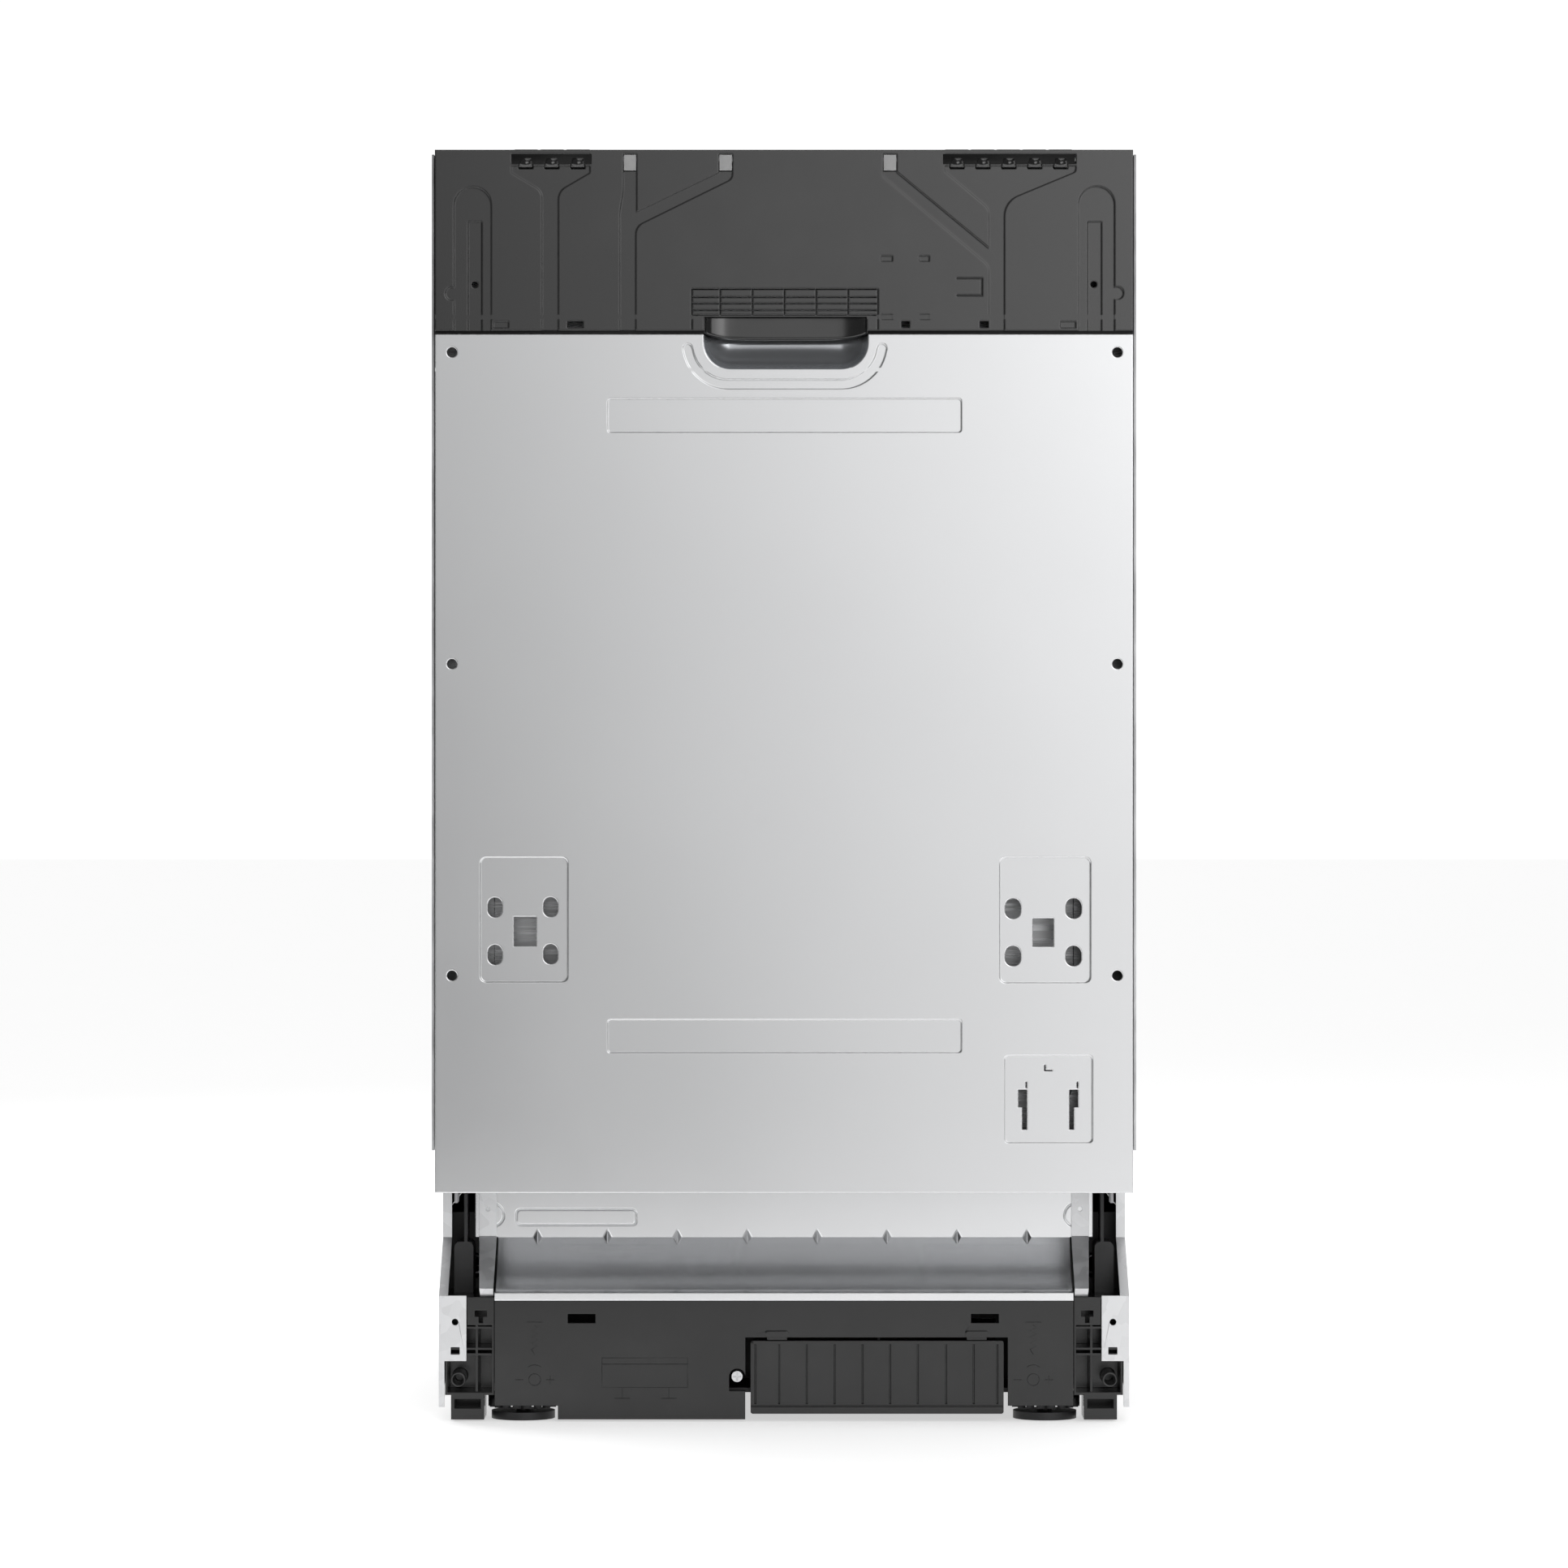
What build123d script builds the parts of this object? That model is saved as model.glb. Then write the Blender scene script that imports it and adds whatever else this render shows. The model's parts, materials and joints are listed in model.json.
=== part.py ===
from build123d import *
import math
import os

# Slimline built-in dishwasher, fully integrated, in millimetres.
# The frame: X to the right and Z up as seen by a person in front of the door, Y towards the wall.
# The origin is at the middle of the footprint, on the floor.

# Overall sizes
DEPTH = 550.0
FRONT = -DEPTH / 2
REAR = DEPTH / 2
TOP = 815.0

# Door
DOOR_HALF = 222.4
DOOR_BOTTOM = 149.5
DOOR_SPLIT = 697.0
CONSOLE_TOP = 814.0
PANEL_GAP = 0.6
SHEET = 1.0
OUTER_DEPTH = 30.0
INNER_FACE = FRONT + 55.0
INNER_HALF = 221.4
INNER_TOP = 810.0
FIELD_FACE = FRONT + 61.0
CONSOLE_WALL = 5.0
CENTRE = 0.5

# Door hinge
PIVOT_Y = FRONT + 40.0
PIVOT_Z = 158.0
PIN_RADIUS = 5.0
RUNNING = 0.05
LEVER_IN = 209.5
LEVER_OUT = 211.5
BRACKET_IN = 205.5
BRACKET_OUT = 207.5

# Cabinet
BODY_HALF = 222.0
SIDE_SHEET = 1.2
FRAME_TOP = 178.0
CABINET_TOP = 806.0
FLANGE_FRONT = FRONT + 62.0
FLANGE_SHEET = 1.5
BODY_REAR = 262.0
KICK_FACE = FRONT + 87.0
BASE_FACE = FRONT + 37.0
KICK_FOOT = 81.0
KICK_BEND = 115.0
KICK_HALF = 201.0
APRON_TOP = 78.0
APRON_HALF = 186.0
BEAD_DEPTH = 2.0
SIDE_BEADS = ((-150.0, -10.0), (50.0, 190.0))
REAR_BEADS = (-130.0, 0.0, 130.0)

# Tub
TUB_HALF = 203.0
TUB_FLOOR = 161.0
TUB_LEDGE = 174.0
TUB_ROOF = 790.0
TUB_REAR = 250.0
TUB_SHEET = 1.5
ARM_Y = 20.0

# Baskets
WIRE = 3.5
LOWER_FLOOR = 201.5
LOWER_TOP = 330.0
LOWER_HALF = 182.0
UPPER_FLOOR = 505.0
UPPER_TOP = 640.0
UPPER_HALF = 188.0
BASKET_FRONT = -190.0
BASKET_REAR = 210.0
WHEEL_RADIUS = 13.0
WHEEL_Z = 188.0
WHEEL_Y = (-125.0, 150.0)

# Base and feet
TRAY_FLOOR = 18.0
TRAY_FRONT = -165.0
FOOT_X = 168.7
FOOT_Y = -210.0
REAR_FOOT_X = -30.2
REAR_FOOT_Y = 235.0
ADJUSTER_Z = 29.1

# Buttons: the middle of each one, in two groups
LEFT_BUTTONS = (-164.6, -148.0, -131.4)
RIGHT_BUTTONS = (110.2, 126.7, 143.2, 159.7, 176.3)
BUTTON_WIDTH = 15.5
BUTTON_FRONT = FRONT + 7.0
BUTTON_BACK = FRONT + 25.0


def block(x0, x1, y0, y1, z0, z1):
    """A box between two corners."""
    centre = Pos((x0 + x1) / 2, (y0 + y1) / 2, (z0 + z1) / 2)
    return centre * Box(abs(x1 - x0), abs(y1 - y0), abs(z1 - z0))


def rod_x(x0, x1, y, z, radius):
    """A cylinder along X."""
    return Pos((x0 + x1) / 2, y, z) * Rot(0, 90, 0) * Cylinder(radius, abs(x1 - x0))


def rod_y(x, y0, y1, z, radius):
    """A cylinder along Y."""
    return Pos(x, (y0 + y1) / 2, z) * Rot(90, 0, 0) * Cylinder(radius, abs(y1 - y0))


def rod_z(x, y, z0, z1, radius):
    """A cylinder along Z."""
    return Pos(x, y, (z0 + z1) / 2) * Cylinder(radius, abs(z1 - z0))


def plate_xz(points, y0, y1, radius=0.0):
    """An outline seen from the front, extruded from y0 to y1."""
    face = make_face(Polyline(*[(x, y0, z) for x, z in points], close=True))
    if radius:
        face = fillet(face.vertices(), radius)
    return extrude(face, amount=y1 - y0, dir=(0, 1, 0))


def plate_yz(points, x0, x1, radius=0.0):
    """An outline seen from the side, extruded from x0 to x1."""
    face = make_face(Polyline(*[(x0, y, z) for y, z in points], close=True))
    if radius:
        face = fillet(face.vertices(), radius)
    return extrude(face, amount=x1 - x0, dir=(1, 0, 0))


def rectangle(x0, x1, z0, z1):
    """The four corners of a rectangle, for plate_xz and plate_yz."""
    return [(x0, z0), (x1, z0), (x1, z1), (x0, z1)]


def rounded_xz(x0, x1, z0, z1, y0, y1, radius):
    """A rounded rectangle seen from the front."""
    return plate_xz(rectangle(x0, x1, z0, z1), y0, y1, radius)


def mirrored(shape):
    """The same shape on the other side of the middle plane."""
    return mirror(shape, about=Plane.YZ)


def both(shape):
    """A left and right pair, as two separate solids."""
    return Compound(children=list(shape.solids()) + list(mirrored(shape).solids()))


def group(*shapes):
    """Several separate solids in one node."""
    solids = []
    for shape in shapes:
        solids.extend(shape.solids())
    return Compound(children=solids)


def grid_xy(x0, x1, y0, y1, z, across, along):
    """A flat wire grid that lies down, across bars along X and along bars along Y."""
    bars = []
    for index in range(across + 1):
        y = y0 + (y1 - y0 - WIRE) * index / across
        bars.append(block(x0, x1, y, y + WIRE, z, z + WIRE))
    for index in range(along + 1):
        x = x0 + (x1 - x0 - WIRE) * index / along
        bars.append(block(x, x + WIRE, y0, y1, z, z + WIRE))
    return bars[0].fuse(*bars[1:])


def grid_xz(x0, x1, z0, z1, y, levels, uprights):
    """A flat wire grid that stands facing the front."""
    bars = []
    for index in range(levels + 1):
        z = z0 + (z1 - z0 - WIRE) * index / levels
        bars.append(block(x0, x1, y, y + WIRE, z, z + WIRE))
    for index in range(uprights + 1):
        x = x0 + (x1 - x0 - WIRE) * index / uprights
        bars.append(block(x, x + WIRE, y, y + WIRE, z0, z1))
    return bars[0].fuse(*bars[1:])


def grid_yz(y0, y1, z0, z1, x, levels, uprights):
    """A flat wire grid that stands facing the side."""
    bars = []
    for index in range(levels + 1):
        z = z0 + (z1 - z0 - WIRE) * index / levels
        bars.append(block(x, x + WIRE, y0, y1, z, z + WIRE))
    for index in range(uprights + 1):
        y = y0 + (y1 - y0 - WIRE) * index / uprights
        bars.append(block(x, x + WIRE, y, y + WIRE, z0, z1))
    return bars[0].fuse(*bars[1:])


# ---------------------------------------------------------------- door

PANEL_HOLES_X = (-211.5, 212.3)
PANEL_HOLES_Z = (685.0, 486.5, 288.0)
PANEL_HOLE_RADIUS = 3.25
POCKET_DEPTH = 3.0
SCOOP_X = (-51.3, 53.6)
SCOOP_BOTTOM = 674.0
SCOOP_BACK = FRONT + 28.0
SCOOP_CORNER = 17.5
BEAD_HALF = 65.0
BEAD_WIDTH = 6.0
BEAD_TOP = 687.5
BEAD_FOOT = 664.6
BEAD_TURN = 26.0


def stamped_pocket(sheet, x0, x1, z0, z1, depth, radius):
    """Adds a shallow pressed pocket to the front sheet."""
    backing = rounded_xz(x0 - SHEET, x1 + SHEET, z0 - SHEET, z1 + SHEET,
                         FRONT, FRONT + depth + SHEET, radius + SHEET)
    hollow = rounded_xz(x0, x1, z0, z1, FRONT - 1, FRONT + depth, radius)
    return sheet + backing - hollow


def oval(x, z, width, height):
    """A through slot with round ends, standing up."""
    return rounded_xz(x - width / 2, x + width / 2, z - height / 2, z + height / 2,
                      FRONT - 1, FRONT + 8, width / 2 - 0.01)


def bead_tool(grow, y0, y1):
    """The solid that the U-shaped bead sweeps: two quarter turns, a straight and round ends."""
    half = BEAD_WIDTH / 2 + grow
    side = BEAD_HALF - BEAD_WIDTH / 2
    turn_z = BEAD_FOOT + BEAD_TURN
    tool = block(CENTRE - side + BEAD_TURN, CENTRE + side - BEAD_TURN, y0, y1,
                 BEAD_FOOT - half, BEAD_FOOT + half)
    for hand in (-1, 1):
        turn_x = CENTRE + hand * (side - BEAD_TURN)
        ring = rod_y(turn_x, y0, y1, turn_z, BEAD_TURN + half)
        ring = ring - rod_y(turn_x, y0 - 1, y1 + 1, turn_z, BEAD_TURN - half)
        corner = block(turn_x, turn_x + hand * 2 * BEAD_TURN, y0, y1, BEAD_FOOT - BEAD_TURN, BEAD_TOP)
        tool = tool + (ring & corner) + rod_y(CENTRE + hand * side, y0, y1, BEAD_TOP, half)
    return tool


def handle_bead(sheet):
    """Adds the pressed U-shaped bead that stiffens the handle recess."""
    return sheet + bead_tool(SHEET, FRONT, FRONT + 2.6) - bead_tool(0.0, FRONT - 1, FRONT + 1.6)


def scoop_outline(grow, y0, y1):
    """The handle recess's outline, round at its lower corners, running up past the panel's top."""
    return rounded_xz(SCOOP_X[0] - grow, SCOOP_X[1] + grow, SCOOP_BOTTOM - grow, DOOR_SPLIT + 2 * SCOOP_CORNER,
                      y0, y1, SCOOP_CORNER + grow)


def scoop_bowl():
    """The walls and back of the handle recess, as plates that meet edge to edge."""
    top = DOOR_SPLIT - PANEL_GAP
    above = block(-100, 100, FRONT - 1, FRONT + 40, top, top + 50)
    walls = scoop_outline(SHEET, FRONT + SHEET, SCOOP_BACK) - scoop_outline(0.0, FRONT, SCOOP_BACK + 1) - above
    back = scoop_outline(SHEET, SCOOP_BACK, SCOOP_BACK + SHEET) - above
    x_turns = (-100, SCOOP_X[0] + SCOOP_CORNER, SCOOP_X[1] - SCOOP_CORNER, 100)
    z_turns = (SCOOP_BOTTOM - 10, SCOOP_BOTTOM + SCOOP_CORNER, top)
    pieces = [back]
    for x0, x1 in zip(x_turns, x_turns[1:]):
        for z0, z1 in zip(z_turns, z_turns[1:]):
            part = walls & block(x0, x1, FRONT, FRONT + 40, z0, z1)
            if part.solids():
                pieces.append(part)
    return pieces


def plates_round_scoop(wall, seam, foot, top):
    """A front wall as three plates that touch: one clear of the handle recess, one on each side of it."""
    low, high = (foot, seam) if foot < SCOOP_BOTTOM else (seam, top)
    plates = [wall & block(-DOOR_HALF, DOOR_HALF, FRONT, FRONT + 12, low, high)]
    beside = (seam, top) if foot < SCOOP_BOTTOM else (foot, seam)
    for side in (-1, 1):
        plates.append(wall & block(CENTRE, side * DOOR_HALF, FRONT, FRONT + 12, *beside))
    return plates


def door_outer_panel():
    """Painted steel front skin, with the furniture fixing holes and pressed pockets."""
    top = DOOR_SPLIT - PANEL_GAP
    back = FRONT + OUTER_DEPTH
    sheet = block(-DOOR_HALF, DOOR_HALF, FRONT, FRONT + SHEET, DOOR_BOTTOM, top)
    inside = DOOR_HALF - SHEET
    flanges = [block(-inside, inside, FRONT + SHEET, back, DOOR_BOTTOM, DOOR_BOTTOM + SHEET)]
    for side in (-1, 1):
        flanges.append(block(side * DOOR_HALF, side * inside, FRONT + SHEET, back, DOOR_BOTTOM, top))
    for z0, z1 in ((634.0, 655.5), (238.8, 260.0)):
        sheet = stamped_pocket(sheet, -112.3, 113.0, z0, z1, 1.2, 2.0)
    sheet = stamped_pocket(sheet, -193.5, -137.7, 283.8, 363.4, POCKET_DEPTH, 4.0)
    sheet = stamped_pocket(sheet, 137.4, 195.3, 283.3, 363.4, POCKET_DEPTH, 4.0)
    sheet = stamped_pocket(sheet, 140.6, 196.5, 181.4, 237.2, POCKET_DEPTH, 2.5)
    sheet = handle_bead(sheet)
    sheet = sheet - scoop_outline(0.0, FRONT - 1, FRONT + SHEET + 1)
    for x in PANEL_HOLES_X:
        for z in PANEL_HOLES_Z:
            sheet = sheet - rod_y(x, FRONT - 1, FRONT + 3, z, PANEL_HOLE_RADIUS)
    for x, z, width, height in (
        (-184.2, 331.4, 9.2, 12.8), (-148.8, 331.6, 9.2, 12.8),
        (-184.2, 301.2, 9.2, 12.8), (-148.8, 301.6, 9.2, 12.8),
        (145.9, 330.6, 10.0, 13.1), (184.6, 330.7, 10.0, 13.1),
        (145.9, 300.4, 10.0, 13.1), (184.5, 300.4, 10.0, 13.1),
    ):
        sheet = sheet - oval(x, z, width, height)
    for x0, x1, z0, z1 in (
        (-172.2, -158.0, 306.6, 325.4), (158.6, 171.8, 306.3, 324.4),
        (149.3, 154.8, 203.9, 215.2), (151.8, 154.8, 189.7, 203.9),
        (181.9, 187.4, 203.9, 215.2), (181.9, 184.7, 189.7, 203.9),
        (154.0, 154.8, 216.2, 220.2), (186.6, 187.4, 216.2, 220.2),
        (165.9, 171.0, 227.0, 227.8), (165.9, 166.7, 227.0, 231.0),
    ):
        sheet = sheet - block(x0, x1, FRONT - 1, FRONT + 8, z0, z1)
    return group(*plates_round_scoop(sheet, SCOOP_BOTTOM, DOOR_BOTTOM, top), *flanges, *scoop_bowl())


def hinge_notch(side):
    """The room that each fixed hinge bracket takes in the foot of the door."""
    return block(side * 203.5, side * 213.0, FRONT + 30.5, INNER_FACE + 1, DOOR_BOTTOM - 1, FRAME_TOP - 4)


def door_inner_panel():
    """Stainless inner skin, with a raised field, flanges and openings for dispenser and latch."""
    bottom = DOOR_BOTTOM + 1.0
    front = FRONT + 13.0
    face = block(-INNER_HALF, INNER_HALF, INNER_FACE - SHEET, INNER_FACE, bottom, INNER_TOP)
    for side in (-1, 1):
        edge = side * INNER_HALF
        face = face + block(edge, edge - side * SHEET, front, INNER_FACE, bottom, INNER_TOP)
    face = face + block(-INNER_HALF, INNER_HALF, FRONT + 35, INNER_FACE, INNER_TOP - SHEET, INNER_TOP)
    face = face + block(-INNER_HALF, INNER_HALF, FRONT + 32, INNER_FACE, bottom, bottom + SHEET)
    face = face + rounded_xz(-188, 188, 195, 765, INNER_FACE - SHEET, FIELD_FACE, 25)
    face = face - rounded_xz(-187, 187, 196, 764, INNER_FACE - 5, FIELD_FACE - SHEET, 24)
    face = face - rounded_xz(-72, 72, 423, 557, INNER_FACE - 5, FIELD_FACE + 1, 2)
    face = face - block(-14, 14, INNER_FACE - 5, INNER_FACE + 1, 797, 808)
    for side in (-1, 1):
        face = face - hinge_notch(side)
    return face


def keyhole(x, z_top, radius, depth):
    """A recess with a round top, open at the foot of the console."""
    tool = block(x - radius, x + radius, FRONT - 1, FRONT + depth, DOOR_SPLIT - 1, z_top - radius)
    return tool + rod_y(x, FRONT - 1, FRONT + depth, z_top - radius, radius)


def turned_plate(points, y0, y1):
    """An outline seen from the front whose corners have their own radii, as (x, z, radius)."""
    face = make_face(Polyline(*[(x, y0, z) for x, z, _ in points], close=True))
    for x, z, radius in points:
        if radius:
            corner = face.vertices().sort_by_distance((x, y0, z))[0]
            face = fillet(corner, radius)
    return extrude(face, amount=y1 - y0, dir=(0, 1, 0))


def console_channels():
    """The recessed channels in the console's front, as cutters."""
    foot = DOOR_SPLIT - 1
    outlines = (
        [(-173.6, 804, 0), (-173.6, 799.3, 0), (-154.2, 787.7, 8), (-154.2, foot, 0), (-143.7, foot, 0),
         (-143.7, 787.6, 9), (-123.6, 799.3, 0), (-123.6, 804, 0)],
        [(-102.4, 801, 0), (-102.4, 788, 20), (-104.6, 775, 20), (-104.6, foot, 0), (-94.4, foot, 0),
         (-94.4, 765.2, 8), (-32.8, 795.5, 5), (-32.8, 801, 0), (-41.5, 801, 0), (-41.5, 799.5, 0),
         (-93.8, 774.5, 0), (-93.8, 801, 0)],
        [(102.5, 804, 0), (102.5, 800.2, 0), (130.6, 776.5, 8), (130.6, 751.4, 0), (71.9, 799.9, 0),
         (71.9, 801, 0), (63.1, 801, 0), (63.1, 797, 3), (130.6, 740.2, 8), (130.6, foot, 0),
         (140.5, foot, 0), (140.5, 781.1, 14), (186, 800, 3), (186, 804, 0)],
    )
    return [turned_plate(points, FRONT - 1, FRONT + CHANNEL_DEPTH) for points in outlines]


def button_windows():
    """The windows in front of the two button groups, with a notch below each button."""
    tools = [block(-173.6, -123.6, FRONT - 1, FRONT + 6, 806.2, 811.3),
             block(102.5, 186.0, FRONT - 1, FRONT + 6, 805.2, 811.3)]
    for x in LEFT_BUTTONS + RIGHT_BUTTONS:
        tools.append(block(x - 4.6, x + 4.6, FRONT - 1, FRONT + 6, 802.1, 807))
    return tools


def louvre_gaps():
    """The narrow gaps between the slats of the louvre grille, as cutters."""
    columns = (-58.7, -40.7, -20.2, 0.2, 20.5, 40.8, 59.8)
    rows = (725.2, 720.1, 716.0, 711.8)
    tools = []
    for left, right in zip(columns, columns[1:]):
        tools.append(block(left - 0.3, left + 0.3, FRONT - 1, FRONT + 2.6, 708.6, rows[0] + 0.3))
        for z in rows + (708.6,):
            tools.append(block(left + 0.3, right - 0.8, FRONT - 1, FRONT + 6, z - 0.4, z + 0.4))
    tools.append(block(columns[-1] - 0.3, columns[-1] + 0.3, FRONT - 1, FRONT + 2.6, 699.3, rows[0] + 0.3))
    tools.append(block(columns[0] - 0.3, columns[0] + 0.3, FRONT - 1, FRONT + 2.6, 699.3, 708.6))
    return tools


CUP_LEFT = -54.5
CUP_RIGHT = 56.3
CUP_ROOF = 707.6
CUP_WALL = 2.0
CHANNEL_DEPTH = 2.2
KEYHOLE_DEPTH = 3.4
SHADOW_TOP = 698.8


def handle_cup():
    """The upper half of the handle recess: roof, back and two cheeks that meet edge to edge."""
    front = FRONT + CONSOLE_WALL
    back = FRONT + 28.0
    return [
        block(CUP_LEFT, CUP_RIGHT, front, back, CUP_ROOF, CUP_ROOF + CUP_WALL),
        block(CUP_LEFT, CUP_RIGHT, back, back + CUP_WALL, DOOR_SPLIT, CUP_ROOF + CUP_WALL),
        block(CUP_LEFT, CUP_LEFT + CUP_WALL, front, back, DOOR_SPLIT, CUP_ROOF),
        block(CUP_RIGHT - CUP_WALL, CUP_RIGHT, front, back, DOOR_SPLIT, CUP_ROOF),
    ]


def console_walls():
    """The console's top, cheeks and foot rails, which start at the back of its front wall."""
    front = FRONT + CONSOLE_WALL
    rail_back = FRONT + 12.8
    wall_back = INNER_FACE - SHEET - 1.0
    under = CONSOLE_TOP - 2.5
    inside = DOOR_HALF - 2.5
    top = block(-DOOR_HALF, DOOR_HALF, front, INNER_FACE, under, CONSOLE_TOP)
    for x0, x1 in ((-173.6, -122.4), (101.4, 185.1)):
        top = top - block(x0, x1, BUTTON_FRONT - 0.7, BUTTON_BACK + 0.7, 808, CONSOLE_TOP + 1)
    walls = [top]
    for side in (-1, 1):
        edge = side * DOOR_HALF
        walls.append(block(edge, side * inside, front, rail_back, DOOR_SPLIT, under))
        walls.append(block(edge, edge - side * 0.9, rail_back, wall_back, DOOR_SPLIT, under))
    for x0, x1 in ((-inside, CUP_LEFT), (CUP_RIGHT, inside)):
        walls.append(block(x0, x1, front, rail_back, DOOR_SPLIT, DOOR_SPLIT + 2))
    return walls


def console():
    """Moulded console housing: front wall, top, sides and the upper half of the handle recess."""
    shell = block(-DOOR_HALF, DOOR_HALF, FRONT, FRONT + CONSOLE_WALL, DOOR_SPLIT, CONSOLE_TOP)
    shell = shell - block(CUP_LEFT + 3.5, CUP_RIGHT - 3.5, FRONT - 1, FRONT + 28, DOOR_SPLIT - 1, CUP_ROOF)
    shell = shell - keyhole(-198.4, 790.5, 11.9, KEYHOLE_DEPTH) - keyhole(199.2, 790.9, 11.5, KEYHOLE_DEPTH)
    shell = shell - block(-201.4, -192.6, FRONT - 1, FRONT + 4.5, DOOR_SPLIT - 1, 768.5)
    shell = shell - block(193.5, 202.5, FRONT - 1, FRONT + 4.5, DOOR_SPLIT - 1, 768.5)
    for x, z in ((-197.1, 728.4), (197.5, 728.6)):
        shell = shell - rod_y(x, FRONT - 1, FRONT + 8, z, 2.0)
    for x, z, radius in ((-211.6, 722.5, 4.3), (212.3, 722.8, 4.1)):
        shell = shell - rod_y(x, FRONT - 1, FRONT + KEYHOLE_DEPTH, z, radius)
    for tool in console_channels() + button_windows() + louvre_gaps():
        shell = shell - tool
    for x0, x1 in ((-102.4, -93.9), (-41.5, -32.8), (63.1, 71.9)):
        shell = shell - block(x0, x1, FRONT - 1, FRONT + 6, 800.6, 811.3)
    for x0, x1, z0, z1 in (
        (61.9, 69.1, 742.9, 746.5), (86.2, 92.6, 742.9, 746.5),
        (61.9, 69.1, 705.9, 709.1), (86.2, 92.6, 705.9, 709.1),
        (-185.3, -175.5, 700.5, 704.7), (176.1, 185.8, 700.5, 704.7),
        (110.0, 126.5, 731.7, 732.6), (110.0, 126.5, 720.7, 721.6), (125.6, 126.5, 720.7, 732.6),
    ):
        shell = shell - block(x0, x1, FRONT - 1, FRONT + 1.6, z0, z1)
    for x0, x1 in ((-138.0, -128.0), (74.8, 80.0), (124.7, 130.4)):
        shell = shell - block(x0, x1, FRONT - 1, FRONT + 6, 700.5, 704.9)
    shell = shell - block(-DOOR_HALF - 1, DOOR_HALF + 1, FRONT - 1, FRONT + 2.5, DOOR_SPLIT - 1, SHADOW_TOP)
    front_plates = plates_round_scoop(shell, CUP_ROOF, DOOR_SPLIT, CONSOLE_TOP)
    return group(*front_plates, *console_walls(), *handle_cup())


def control_box():
    """Electronics housing behind the console's front wall."""
    body = block(-200, 200, FRONT + CONSOLE_WALL, FRONT + 27, 732, 795)
    return body + block(-60, 60, FRONT + CONSOLE_WALL, FRONT + 24, 726.5, 732)


def light_guides():
    """Three clear light guides that end in the console's front."""
    guides = []
    for x0, x1 in ((-102.1, -94.2), (-41.2, -33.1), (63.4, 71.6)):
        guides.append(block(x0, x1, FRONT + 0.4, FRONT + 14, 800.9, 811.0))
    return group(*guides)


def hinge_lever():
    """One hinge arm, bolted inside the door and bored for the hinge pin."""
    outline = [(PIVOT_Y - 9, 141), (PIVOT_Y + 9, 141), (PIVOT_Y + 12.5, 165),
               (PIVOT_Y + 12.5, 330), (PIVOT_Y - 7, 330), (PIVOT_Y - 9, 165)]
    arm = plate_yz(outline, LEVER_IN, LEVER_OUT)
    foot = block(LEVER_OUT, 219.5, PIVOT_Y + 11.5, PIVOT_Y + 14, 190, 330)
    arm = arm + foot + block(LEVER_IN, LEVER_OUT, PIVOT_Y + 11.5, PIVOT_Y + 14, 190, 330)
    return arm - rod_x(200, 220, PIVOT_Y, PIVOT_Z, PIN_RADIUS + RUNNING)


def door_latch():
    """Latch box in the head of the door, with a pocket for the fixed strike."""
    body = block(-30, 30, FRONT + 29, INNER_FACE - SHEET, 785, 808.9)
    return body - block(-13, 13, FRONT + 36, INNER_FACE + 1, 797, 808)


DISPENSER_X = (-75.0, 75.0)
DISPENSER_Z = (420.0, 560.0)
CUP_X = (-60.0, 4.0)
CUP_Z = (440.0, 540.0)
RINSE_X = 44.0
RINSE_Z = 512.0


def cup_surround(x0, x1, z0, z1, y0, y1):
    """Four plates round the detergent cup that fill a rectangle; the right one has the filling bore."""
    right = block(CUP_X[1], x1, y0, y1, z0, z1) - rod_y(RINSE_X, y0 - 1, y1 + 1, RINSE_Z, 14)
    return [
        block(x0, CUP_X[0], y0, y1, z0, z1),
        right,
        block(CUP_X[0], CUP_X[1], y0, y1, z0, CUP_Z[0]),
        block(CUP_X[0], CUP_X[1], y0, y1, CUP_Z[1], z1),
    ]


def dispenser():
    """Detergent dispenser: flange, detergent cup, rinse-aid tank and its filling neck."""
    solids = [rounded_xz(-71, 71, 424, 556, FRONT + 30, FRONT + 36, 5)]
    solids += cup_surround(-71, 71, 424, 556, FRONT + 36, FIELD_FACE)
    solids += cup_surround(*DISPENSER_X, *DISPENSER_Z, FIELD_FACE, FIELD_FACE + 1.5)
    for z in (CUP_Z[0] - 4.5, CUP_Z[1] + 2.5):
        solids.append(block(CUP_X[0] - 12, CUP_X[1] + 4, FIELD_FACE + 1.5, FIELD_FACE + 3.5, z, z + 2))
    return group(*solids)


def dispenser_lid():
    """Sliding lid over the detergent cup."""
    lid = rounded_xz(CUP_X[0] - 3, CUP_X[1] + 3, CUP_Z[0] - 1, CUP_Z[1] + 1,
                     FIELD_FACE + 2.0, FIELD_FACE + 4.4, 6)
    return lid + block(CUP_X[1] - 8, CUP_X[1] - 5, FIELD_FACE + 4.4, FIELD_FACE + 7, 470, 510)


def rinse_aid_cap():
    """Round quarter-turn cap of the rinse-aid tank."""
    cap = rod_y(RINSE_X, FRONT + 52, FIELD_FACE + 2.0, RINSE_Z, 12.8)
    cap = cap + rod_y(RINSE_X, FIELD_FACE + 2.0, FIELD_FACE + 5.0, RINSE_Z, 17)
    return cap + block(RINSE_X - 14, RINSE_X + 14, FIELD_FACE + 5, FIELD_FACE + 7.5, RINSE_Z - 2, RINSE_Z + 2)


def door_screws():
    """Screw heads down both margins of the inner door."""
    screws = []
    for side in (-1, 1):
        for z in (215, 280, 480, 640, 760):
            screws.append(rod_y(side * 216.5, INNER_FACE, INNER_FACE + 1.0, z, 3.2))
    return group(*screws)


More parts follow.
